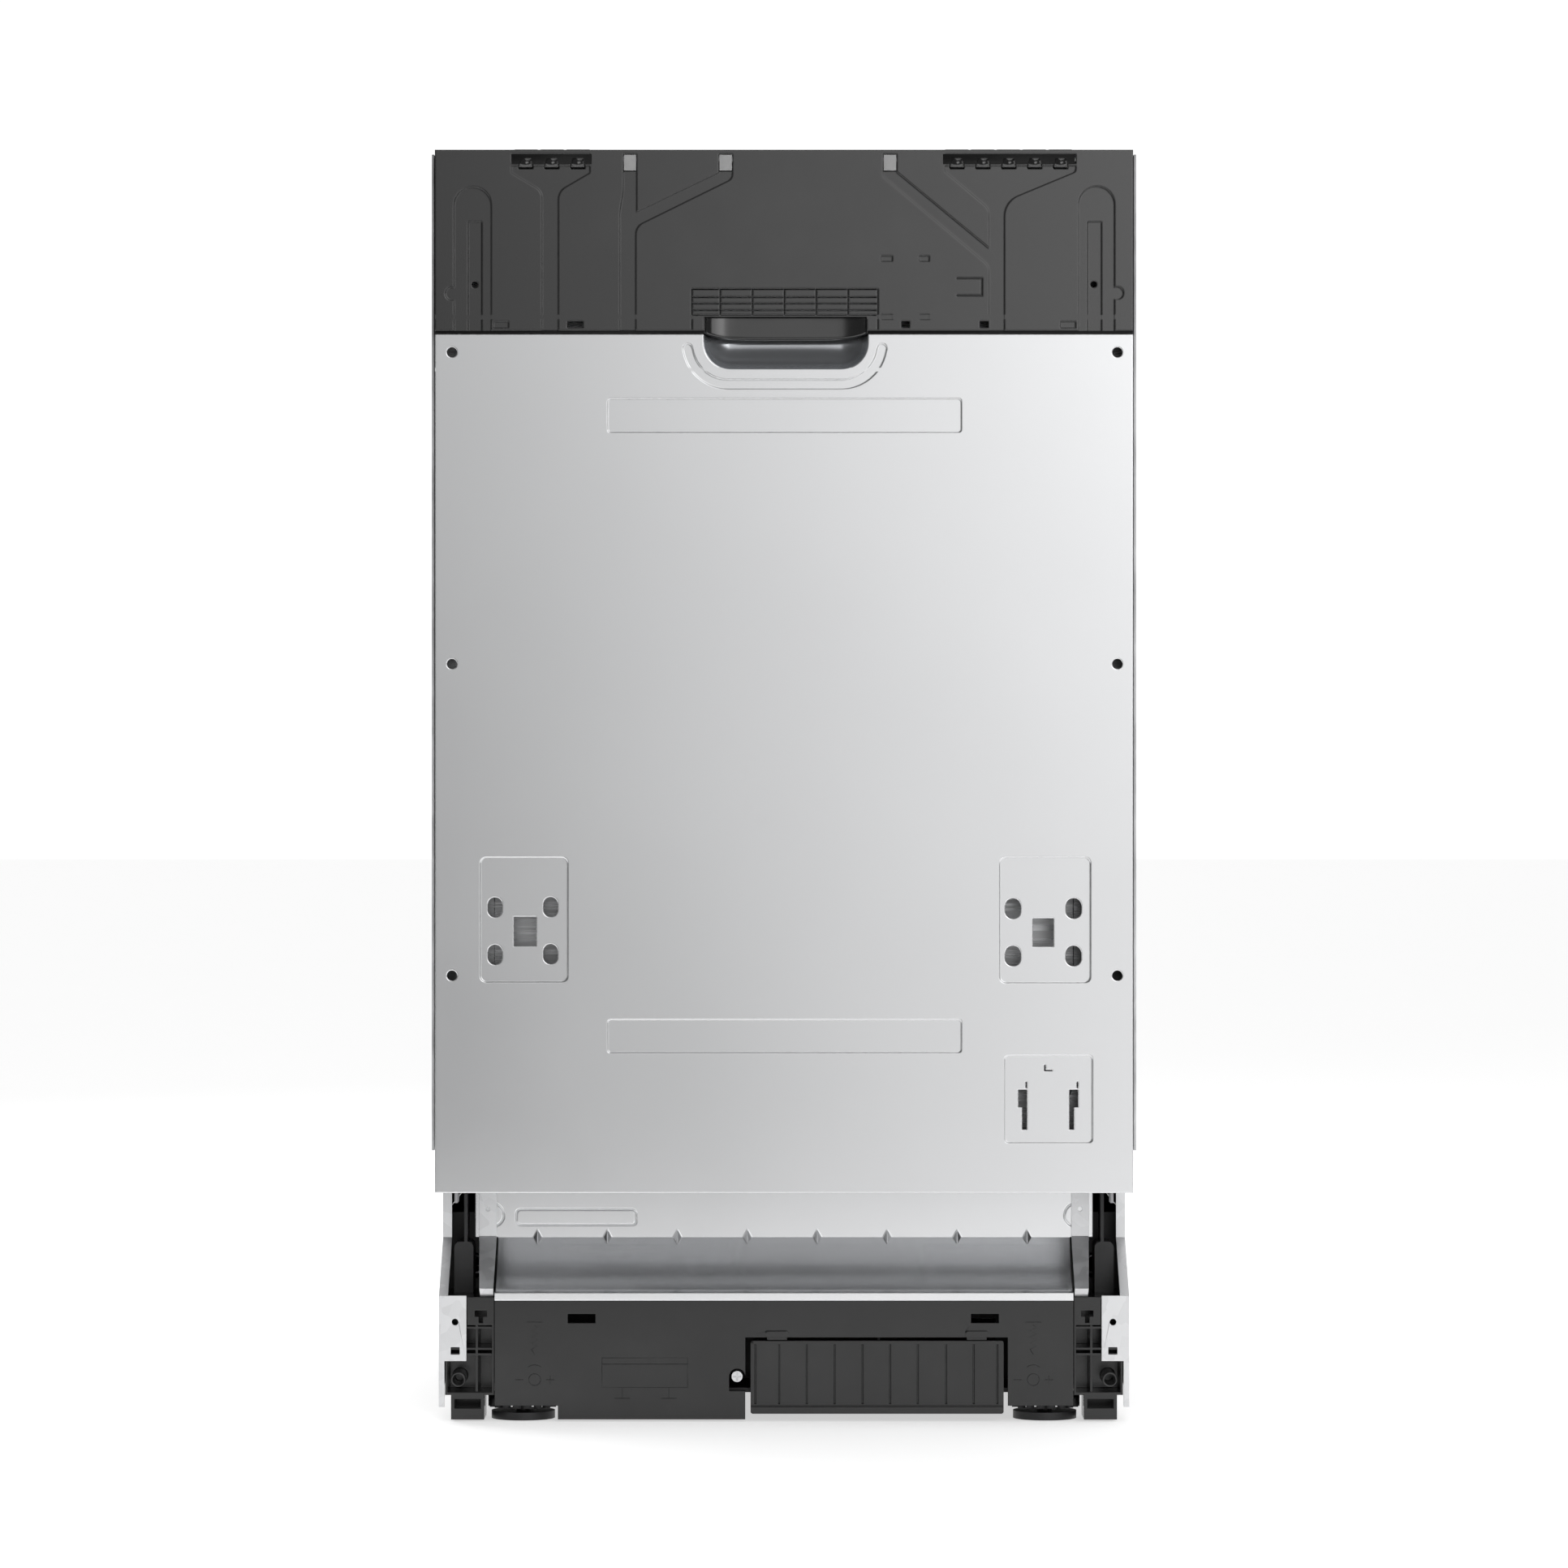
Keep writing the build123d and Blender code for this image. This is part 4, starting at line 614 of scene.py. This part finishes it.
def gap_seal():
    """A near-black strip in the gap between the console and the door panel, beside the handle: painted
    shade in place of the gap's shadow.
    """
    (left, _, foot), (right, _, _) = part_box("console")
    parts = []
    for x0, x1 in ((left, HANDLE_MIDDLE - GRIP_HALF), (HANDLE_MIDDLE + GRIP_HALF, right)):
        parts.append(box_faces((x0 + SHADE_STRIP_PLAY, FRONT + SHADE_STRIP_FACE, foot - SHADE_STRIP_PLAY),
                               (x1 - SHADE_STRIP_PLAY, FRONT + SHADE_STRIP_BACK, foot + SHADE_STRIP_HEIGHT)))
    piece = mesh_piece("gap_seal", *joined(parts))
    settle(piece, "door", "black_plastic", finish="gap_black")


def button_bezels():
    """Near-black plates over the two button groups, painted shade in place of the shade between the
    buttons, with a grey tab in front of each button.
    """
    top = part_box("console")[1].z - SHADE_PLATE_DROP
    # frames holds the near-black plates of painted shade, tabs the tabs in front of the buttons
    frames, tabs = [], []
    for numbers in (LEFT_BUTTONS, RIGHT_BUTTONS):
        boxes = [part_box(f"button_{number}") for number in numbers]
        left = min(low.x for low, _ in boxes) - SHADE_PLATE_MARGIN
        right = max(high.x for _, high in boxes) + SHADE_PLATE_MARGIN
        frames.append(box_faces((left, FRONT - SHADE_PLATE_PROUD, top - SHADE_PLATE_HEIGHT),
                                (right, FRONT + SHADE_PLATE_BACK, top)))
        for low, high in boxes:
            middle = (low.x + high.x) / 2
            face = [(middle - TAB_HALF_FOOT, top - TAB_FOOT), (middle + TAB_HALF_FOOT, top - TAB_FOOT),
                    (middle + TAB_HALF_TOP, top - TAB_TOP), (middle - TAB_HALF_TOP, top - TAB_TOP)]
            points = [(x, y, z) for y in (FRONT - TAB_PROUD, FRONT + TAB_BACK) for x, z in face]
            faces = [(0, 1, 2, 3), (7, 6, 5, 4), (0, 4, 5, 1), (1, 5, 6, 2), (2, 6, 7, 3), (3, 7, 4, 0)]
            tabs.append((points, faces))
    settle(mesh_piece("button_bezels", *joined(frames)), "door", "black_plastic", finish="gap_black")
    settle(mesh_piece("button_tabs", *joined(tabs)), "door", "console_grey")


def screw_head(centre, axis, outward, radius=3.2 * MM, height=1.0 * MM):
    """A domed head with a cross recess."""
    points = [None]
    faces = []
    for ring in range(HEAD_RINGS + 1):
        for step in range(HEAD_SEGMENTS):
            angle = 2 * math.pi * step / HEAD_SEGMENTS
            r = radius * min(1.0, (ring + 1) / HEAD_RINGS)
            u, v = r * math.cos(angle), r * math.sin(angle)
            rise = height * (1 - (r / radius) ** 3) if ring < HEAD_RINGS else -0.05 * MM
            in_recess = r < RECESS_REACH * radius and min(abs(u), abs(v)) < RECESS_HALF * radius
            if ring < HEAD_RINGS and in_recess:
                rise -= RECESS_DEPTH * height
            offset = (outward * rise, u, v) if axis == "X" else (u, outward * rise, v)
            points.append(tuple(c + o for c, o in zip(centre, offset)))
    points[0] = tuple(c + o * outward * 0.3 * height for c, o in
                      zip(centre, (1, 0, 0) if axis == "X" else (0, 1, 0)))
    for step in range(HEAD_SEGMENTS):
        faces.append((0, 1 + step, 1 + (step + 1) % HEAD_SEGMENTS))
    for ring in range(HEAD_RINGS):
        for step in range(HEAD_SEGMENTS):
            a = 1 + ring * HEAD_SEGMENTS + step
            b = 1 + ring * HEAD_SEGMENTS + (step + 1) % HEAD_SEGMENTS
            faces.append((a, b, b + HEAD_SEGMENTS, a + HEAD_SEGMENTS))
    return points, faces


def screws():
    """Cross-head screws of the inner door, the rear sheet and the side frames."""
    inner_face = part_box("door_screws")[0][1]
    heads = []
    for side in (-1, 1):
        for z in DOOR_SCREW_HEIGHTS:
            heads.append(screw_head((side * DOOR_SCREW_SIDE, inner_face, z * MM), "Y", 1))
    settle(mesh_piece("door_screw_heads", *joined(heads)), "door", "zinc", "door_screws")
    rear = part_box("fasteners")[1][1] - 2.0 * MM
    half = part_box("fasteners")[1][0] - 1.6 * MM
    heads = []
    for side in (-1, 1):
        for z in REAR_SCREW_HEIGHTS:
            heads.append(screw_head((side * REAR_SCREW_SIDE, rear, z * MM), "Y", 1, CABINET_HEAD, 1.8 * MM))
        for y in FRAME_SCREW_DEPTHS:
            heads.append(screw_head((side * half, y * MM, FRAME_SCREW_HEIGHT), "X", side,
                                    CABINET_HEAD, 1.4 * MM))
    settle(mesh_piece("cabinet_screw_heads", *joined(heads)), "cabinet", "zinc", "fasteners")


# ---------------------------------------------------------------- wash parts

# Both baskets
WIRE = 1.7 * MM
RIM_WIRE = 2.4 * MM
BASKET_FRONT, BASKET_REAR = -188.0 * MM, 208.0 * MM
BASKET_CORNER = 14 * MM
WIRE_BEND = 12.0 * MM
CROSS_WIRES = 13
LONG_WIRES = 11
TINES = 14
TINE_MARGIN = 20 * MM
TINE_LEAN = 5 * MM

# Upper basket: half width, height of floor and rim, and its plate rows
UPPER_HALF = 186.2 * MM
UPPER_FLOOR, UPPER_RIM = 507 * MM, 640 * MM
UPPER_ROWS = (-120 * MM, -60 * MM, 60 * MM, 120 * MM)
UPPER_TINE = 38 * MM
RUNNER_FRONT, RUNNER_REAR = -190 * MM, 210 * MM
ROLLER_PROFILE = [(1.2, -2.2), (5.2, -2.2), (6.0, -1.4), (6.0, 1.4), (5.2, 2.2), (1.2, 2.2)]

# Lower basket, the same, with its axles
LOWER_HALF = 180.2 * MM
LOWER_FLOOR, LOWER_RIM = 203.5 * MM, 330 * MM
LOWER_ROWS = (-45 * MM, 25 * MM, 90 * MM, 150 * MM)
LOWER_TINE = 62 * MM
AXLE_PROFILE = [(2.9, 0.0), (2.9, 16.0), (2.2, 16.6), (0.05, 16.6), (0.05, 0.0)]
WHEEL_PROFILE = [(3.1, -4.6), (5.0, -4.6), (5.4, -1.2), (10.2, -1.2), (10.6, -4.4), (12.0, -4.8),
                 (13.0, -3.9), (13.0, 3.9), (12.0, 4.8), (10.6, 4.4), (10.2, 1.2), (5.4, 1.2),
                 (5.0, 4.6), (3.1, 4.6)]

# Cutlery basket: its rim and handle heights, and the lattice's cells each way
CUTLERY_RIM = 298.5 * MM
CUTLERY_HANDLE = 316 * MM
CELLS_ACROSS, CELLS_ALONG, CELLS_UP = 7, 15, 9

# Door springs
COIL_RADIUS = 5.8 * MM
COIL_WIRE = 1.1 * MM
COIL_TURNS = 44
COIL_STEPS = 14

# Spray arms: where they turn, and each one's top and reach in millimetres
ARM_Y = 20.0 * MM
ARM_BLADES = (("lower_spray_arm", 182.0, 178.0), ("upper_spray_arm", 488.0, 165.0))
NOZZLE_PROFILE = [(1.0, 0.0), (1.0, 0.9), (1.4, 1.2), (2.6, 1.2), (3.4, 0.6), (3.6, 0.0)]
NOZZLE_SHARES = (0.26, 0.44, 0.62, 0.80, 0.92)
NOZZLE_SHIFT = 3.0 * MM


def basket_wires(name, half, floor, top, body, tine_rows, tine_height):
    """A wire basket: U-shaped wires both ways, two level rings, and rows of plate tines."""
    paths = []
    for step in range(CROSS_WIRES):
        y = BASKET_FRONT + (BASKET_REAR - BASKET_FRONT) * (step + 0.5) / CROSS_WIRES
        paths.append(bent([(-half, y, top), (-half, y, floor), (half, y, floor), (half, y, top)],
                          WIRE_BEND))
    for step in range(LONG_WIRES):
        x = -half + 2 * half * (step + 0.5) / LONG_WIRES
        z = floor + 2 * WIRE
        paths.append(bent([(x, BASKET_FRONT, top), (x, BASKET_FRONT, z), (x, BASKET_REAR, z),
                           (x, BASKET_REAR, top)], WIRE_BEND))
    for x in tine_rows:
        base = floor + 4 * WIRE
        paths.append([(x, BASKET_FRONT + 12 * MM, base), (x, BASKET_REAR - 12 * MM, base)])
        for step in range(TINES):
            y = (BASKET_FRONT + TINE_MARGIN
                 + (BASKET_REAR - BASKET_FRONT - 2 * TINE_MARGIN) * step / (TINES - 1))
            paths.append(bent([(x, y, base), (x, y, base + tine_height * 0.6),
                               (x + TINE_LEAN, y, base + tine_height)], 6 * MM))
    piece = wires(name, paths, WIRE, [
        ring_path(-half, half, BASKET_FRONT, BASKET_REAR, floor + (top - floor) * 0.5, BASKET_CORNER)])
    settle(piece, body, "coated_wire")
    rim = wires(name + "_rim", [], RIM_WIRE, [
        ring_path(-half, half, BASKET_FRONT, BASKET_REAR, top - RIM_WIRE, BASKET_CORNER)])
    settle(rim, body, "coated_wire")
    return piece


def upper_basket():
    """Upper basket with its runners, rollers and the feed pipe of the upper arm."""
    piece = basket_wires("upper_basket_wires", UPPER_HALF, UPPER_FLOOR, UPPER_RIM, "upper_basket",
                         UPPER_ROWS, UPPER_TINE)
    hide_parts("upper_basket")
    parts = []
    for side in (-1, 1):
        rail_in, rail_out = sorted((side * 188.5 * MM, side * 191 * MM))
        parts.append(box_faces((rail_in, RUNNER_FRONT, 516 * MM), (rail_out, RUNNER_REAR, 534 * MM)))
        lip_in, lip_out = sorted((side * 191 * MM, side * 195.5 * MM))
        for z in (516.0, 532.0):
            parts.append(box_faces((lip_in, RUNNER_FRONT, z * MM), (lip_out, RUNNER_REAR, (z + 2) * MM)))
    runners = mesh_piece("upper_basket_runners", *joined(parts))
    round_edges(runners, 0.4 * MM)
    settle(runners, "upper_basket", "stainless")
    rollers = []
    for side in (-1, 1):
        for y in (-150, 195):
            rollers.append(turned([(r * MM, a * MM) for r, a in ROLLER_PROFILE],
                                  (side * 197.6 * MM, y * MM, 525 * MM), "X"))
    settle(mesh_piece("upper_basket_rollers", *joined(rollers)), "upper_basket", "grey_plastic")
    feed = wires("upper_arm_feed", [bent([(0, ARM_Y, 481 * MM), (0, ARM_Y, 498.5 * MM),
                                          (0, 224 * MM, 498.5 * MM)], 9 * MM)], 6 * MM)
    settle(feed, "upper_basket", "grey_plastic")


def lower_basket():
    """Lower basket with its axle brackets."""
    piece = basket_wires("lower_basket_wires", LOWER_HALF, LOWER_FLOOR, LOWER_RIM, "lower_basket",
                         LOWER_ROWS, LOWER_TINE)
    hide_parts("lower_basket")
    parts = []
    for side in (-1, 1):
        for y in (-125, 150):
            x0, x1 = sorted((side * 182.5 * MM, side * 187.5 * MM))
            parts.append(box_faces((x0, (y - 12) * MM, 181 * MM), (x1, (y + 12) * MM, 212 * MM)))
            parts.append(turned([(r * MM, side * a * MM) for r, a in AXLE_PROFILE],
                                (side * 184.5 * MM, y * MM, 188 * MM), "X"))
    brackets = mesh_piece("lower_basket_brackets", *joined(parts))
    round_edges(brackets, 1.0 * MM)
    settle(brackets, "lower_basket", "grey_plastic")


def wheels():
    """Four basket wheels with a tyre, a thin web and a hub."""
    for end in ("front", "rear"):
        for side in ("left", "right"):
            node = f"wheel_{end}_{side}"
            low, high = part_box(node)
            centre = [(a + b) / 2 for a, b in zip(low, high)]
            points, faces = turned([(r * MM, a * MM) for r, a in WHEEL_PROFILE], centre, "X", 48)
            piece = mesh_piece(node + "_turned", points, faces)
            round_edges(piece, 0.2 * MM)
            settle(piece, node, "grey_plastic", node)


def cutlery_basket():
    """Moulded cutlery basket: open lattice walls and floor, a solid rim and a carrying handle."""
    low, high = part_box("cutlery_basket")
    x0, x1, y0, y1 = low[0] + 1 * MM, high[0] - 1 * MM, low[1] + 1 * MM, high[1] - 1 * MM
    z0 = low[2] + 1 * MM
    middle = (y0 + y1) / 2

    def wall(first, second, columns):
        rows = []
        for level in range(CELLS_UP + 1):
            z = z0 + (CUTLERY_RIM - z0) * level / CELLS_UP
            rows.append([(first[0] + (second[0] - first[0]) * c / columns,
                          first[1] + (second[1] - first[1]) * c / columns, z) for c in range(columns + 1)])
        return sweep_grid(rows)

    floor_rows = [[(x0 + (x1 - x0) * c / CELLS_ACROSS, y0 + (y1 - y0) * r / CELLS_ALONG, z0)
                   for c in range(CELLS_ACROSS + 1)] for r in range(CELLS_ALONG + 1)]
    parts = [sweep_grid(floor_rows),
             wall((x0, y0), (x1, y0), CELLS_ACROSS), wall((x0, y1), (x1, y1), CELLS_ACROSS),
             wall((x0, y0), (x0, y1), CELLS_ALONG), wall((x1, y0), (x1, y1), CELLS_ALONG),
             wall((x0, middle), (x1, middle), CELLS_ACROSS)]
    lattice = mesh_piece("cutlery_lattice", *joined(parts))
    frame_bars = lattice.modifiers.new("bars", "WIREFRAME")
    frame_bars.thickness = 1.9 * MM
    settle(lattice, "lower_basket", "grey_plastic", "cutlery_basket")
    handle = bent([(x0, middle, CUTLERY_RIM), (x0 + 14 * MM, middle, CUTLERY_HANDLE),
                   (x1 - 14 * MM, middle, CUTLERY_HANDLE), (x1, middle, CUTLERY_RIM)], 8 * MM)
    bars = wires("cutlery_rim", [handle], 1.9 * MM, [ring_path(x0, x1, y0, y1, CUTLERY_RIM, 4 * MM)])
    settle(bars, "lower_basket", "grey_plastic")


def spring_coils():
    """The two counterbalance springs, as wound wire with a hook at each end."""
    low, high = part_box("door_springs")
    centre_x, centre_z = high[0] - 7 * MM, (low[2] + high[2]) / 2
    y0, y1 = low[1] + 14 * MM, high[1] - 15 * MM
    paths = []
    for side in (-1, 1):
        path = [(side * centre_x, low[1] + 1 * MM, centre_z)]
        for step in range(COIL_TURNS * COIL_STEPS + 1):
            angle = 2 * math.pi * step / COIL_STEPS
            y = y0 + (y1 - y0) * step / (COIL_TURNS * COIL_STEPS)
            path.append((side * centre_x + COIL_RADIUS * math.cos(angle), y,
                         centre_z + COIL_RADIUS * math.sin(angle)))
        path.append((side * centre_x, high[1] - 1 * MM, centre_z))
        paths.append(path)
    settle(wires("spring_coils", paths, COIL_WIRE), "cabinet", "spring_steel", "door_springs")


def arm_nozzles():
    """Raised water nozzles along both blades of each spray arm."""
    for body, top, reach in ARM_BLADES:
        rings = []
        for side in (-1, 1):
            for index, share in enumerate(NOZZLE_SHARES):
                shift = NOZZLE_SHIFT * (1 if index % 2 else -1) * side
                centre = (side * reach * share * MM, ARM_Y + shift, top * MM - 0.1 * MM)
                rings.append(turned([(r * MM, a * MM) for r, a in NOZZLE_PROFILE], centre, "Z", 24))
        settle(mesh_piece(body + "_nozzles", *joined(rings)), body, "black_plastic")


# ---------------------------------------------------------------- base pieces

# Ribbed collars round the front feet
COLLAR_RADIUS = 20.0 * MM
COLLAR_FOOT = 7.6 * MM
COLLAR_TOP = 16.0 * MM
COLLAR_RIBS = 18
RIB_HALF_WIDTH = 2.6 * MM
RIB_HALF_DEPTH = 1.2 * MM

# Marks on the apron: their wire, and the middle of each foot's group
MARK_WIRE = 0.28 * MM
MARK_SIDE = 160.3 * MM


def foot_collars():
    """Short ribbed collars that guide the two front feet, below the base."""
    for side in ("left", "right"):
        low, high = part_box("front_foot_" + side)
        x, y = (low.x + high.x) / 2, (low.y + high.y) / 2
        parts = []
        for turn in range(COLLAR_RIBS):
            angle = math.radians(360 // COLLAR_RIBS * turn)
            centre = (x + COLLAR_RADIUS * math.cos(angle), y + COLLAR_RADIUS * math.sin(angle))
            parts.append(box_faces((centre[0] - RIB_HALF_WIDTH, centre[1] - RIB_HALF_DEPTH, COLLAR_FOOT),
                                   (centre[0] + RIB_HALF_WIDTH, centre[1] + RIB_HALF_DEPTH, COLLAR_TOP)))
        piece = mesh_piece("foot_collar_" + side, *joined(parts))
        settle(piece, "cabinet", "black_plastic")


def arc(cx, cz, radius, start, end, y, steps=16):
    """An arc seen from the front, angles in degrees."""
    path = []
    for step in range(steps + 1):
        angle = math.radians(start + (end - start) * step / steps)
        path.append((cx + radius * math.cos(angle), y, cz + radius * math.sin(angle)))
    return path


def apron_marks():
    """Faint raised adjustment symbols on the apron: a spring and turning arcs with plus and minus."""
    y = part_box("access_cover")[0][1]
    paths, closed = [], []
    for side in (-1, 1):
        x = side * MARK_SIDE
        paths.append([(x - 5 * MM, y, 64 * MM), (x + 5 * MM, y, 64 * MM)])
        spring = [(x, y, 62 * MM)]
        for step in range(8):
            spring.append((x + (-1) ** step * 2 * MM, y, (60.5 - 2 * step) * MM))
        paths.append(spring + [(x, y, 43 * MM)])
        paths.append(arc(x, 30 * MM, 6.5 * MM, 50, 130, y))
        closed.append(arc(x, 27 * MM, 3.8 * MM, 0, 345, y, 24))
        for hand in (-1, 1):
            sign_x = x + hand * 10 * MM
            paths.append([(sign_x - 2.6 * MM, y, 27 * MM), (sign_x + 2.6 * MM, y, 27 * MM)])
        paths.append([(x + 10 * MM, y, 24.4 * MM), (x + 10 * MM, y, 29.6 * MM)])
    x0, x1 = -117 * MM, -62 * MM
    closed.append([(x0, y, 22 * MM), (x1, y, 22 * MM), (x1, y, 41 * MM), (x0, y, 41 * MM)])
    paths.append([(x0, y, 37 * MM), (x1, y, 37 * MM)])
    for x in (-104.0, -74.0):
        paths.append([(x * MM, y, 22 * MM), (x * MM, y, 15 * MM)])
        paths.append([((x - 5) * MM, y, 15 * MM), ((x + 5) * MM, y, 15 * MM)])
    settle(wires("apron_marks", paths, MARK_WIRE, closed), "cabinet", "base_grey")


# ---------------------------------------------------------------- studio

# The paper floor's edges and its own glow
FLOOR_SIDE = 6.0
FLOOR_FRONT = -1.25
FLOOR_BACK = 30.0
FLOOR_GLOW = 0.55

# The wall of light in front: a soft edge across the view, tilted by the height of the direction
WALL_TILT = 0.35
WALL_START = -0.11
WALL_END = 0.07
WALL_DIM = 0.0
WALL_BRIGHT = 0.95

# How far the wall reaches from straight in front, as the direction's y
FRONT_FULL = -0.985
FRONT_NONE = -0.80

# The dim sides, and the white room that begins behind the object
SIDE_LEVEL = 0.16
BEHIND_START = 0.1
BEHIND_FULL = 0.7
BEHIND_LEVEL = 1.06


def area_light(name, place, target, width, height, power):
    """A soft rectangular light that faces target."""
    data = bpy.data.lights.new(name, "AREA")
    data.shape = "RECTANGLE"
    data.size = width
    data.size_y = height
    data.energy = power
    light = bpy.data.objects.new(name, data)
    light.location = place
    light.visible_camera = False
    light.rotation_euler = (Vector(target) - Vector(place)).to_track_quat("-Z", "Y").to_euler()
    bpy.context.scene.collection.objects.link(light)


def ramp(tree, source, low, high, first, last):
    """A smooth step from first to last, while source goes from low to high."""
    step = tree.nodes.new("ShaderNodeMapRange")
    step.interpolation_type = "SMOOTHSTEP"
    step.inputs["From Min"].default_value = low
    step.inputs["From Max"].default_value = high
    step.inputs["To Min"].default_value = first
    step.inputs["To Max"].default_value = last
    tree.links.new(source, step.inputs["Value"])
    return step.outputs["Result"]


def backdrop():
    """White room behind the object, a soft wall of light in front on the right, dim sides."""
    world = bpy.data.worlds.new("studio")
    bpy.context.scene.world = world
    world.use_nodes = True
    tree = world.node_tree
    place = tree.nodes.new("ShaderNodeTexCoord")
    split = tree.nodes.new("ShaderNodeSeparateXYZ")
    tree.links.new(place.outputs["Generated"], split.inputs["Vector"])
    across = combined(tree, "MULTIPLY_ADD", split.outputs["Z"], WALL_TILT, split.outputs["X"])
    wall = ramp(tree, across, WALL_START, WALL_END, WALL_DIM, WALL_BRIGHT)
    front = ramp(tree, split.outputs["Y"], FRONT_FULL, FRONT_NONE, 1.0, 0.0)
    behind = ramp(tree, split.outputs["Y"], BEHIND_START, BEHIND_FULL, SIDE_LEVEL, BEHIND_LEVEL)
    total = combined(tree, "ADD", combined(tree, "MULTIPLY", wall, front), behind)
    background = tree.nodes["Background"]
    tree.links.new(total, background.inputs["Strength"])
    background.inputs["Color"].default_value = (1.0, 1.0, 1.0, 1.0)


def studio():
    """Pale floor, soft lights and the camera."""
    data = bpy.data.meshes.new("floor")
    corners = [(-FLOOR_SIDE, FLOOR_FRONT, 0.0), (FLOOR_SIDE, FLOOR_FRONT, 0.0),
               (FLOOR_SIDE, FLOOR_BACK, 0.0), (-FLOOR_SIDE, FLOOR_BACK, 0.0)]
    data.from_pydata(corners, [], [(0, 1, 2, 3)])
    floor = bpy.data.objects.new("floor", data)
    bpy.context.scene.collection.objects.link(floor)
    floor_material = plain("floor_paper", (0.93, 0.93, 0.93), 0.0, 0.9)
    tint(floor_material, noise(floor_material, 2.0), (0.925, 0.925, 0.925), (0.935, 0.935, 0.935))
    shader_of(floor_material).inputs["Emission Color"].default_value = (1.0, 1.0, 1.0, 1.0)
    shader_of(floor_material).inputs["Emission Strength"].default_value = FLOOR_GLOW
    floor.data.materials.append(floor_material)

    backdrop()
    centre = (0.0, FRONT, MIDDLE)
    area_light("key", (2.15, FRONT - 4.1, 2.3), centre, width=3.4, height=3.4, power=50.0)
    area_light("side", (2.4, FRONT + 0.4, 1.2), centre, width=1.2, height=1.8, power=10.0)
    area_light("top", (0.3, FRONT + 0.2, 2.8), centre, width=2.0, height=1.6, power=10.0)
    area_light("back_left", (-2.0, 2.0, 1.6), (0.0, 0.0, MIDDLE), width=1.6, height=1.6, power=30.0)

    data = bpy.data.cameras.new("camera")
    data.sensor_width = SENSOR
    data.lens = SENSOR / 2 * CAMERA_DISTANCE / HALF_VIEW
    camera = bpy.data.objects.new("camera", data)
    camera.location = (0.0, FRONT - CAMERA_DISTANCE, CAMERA_HEIGHT)
    camera.rotation_euler = (math.radians(90), 0.0, 0.0)
    bpy.context.scene.collection.objects.link(camera)
    bpy.context.scene.camera = camera
    bpy.context.scene.view_settings.view_transform = "Standard"


dress_cad_nodes()
handle_bowl()
handle_grip()
gap_seal()
button_bezels()
foot_collars()
screws()
upper_basket()
lower_basket()
wheels()
cutlery_basket()
spring_coils()
arm_nozzles()
apron_marks()
studio()
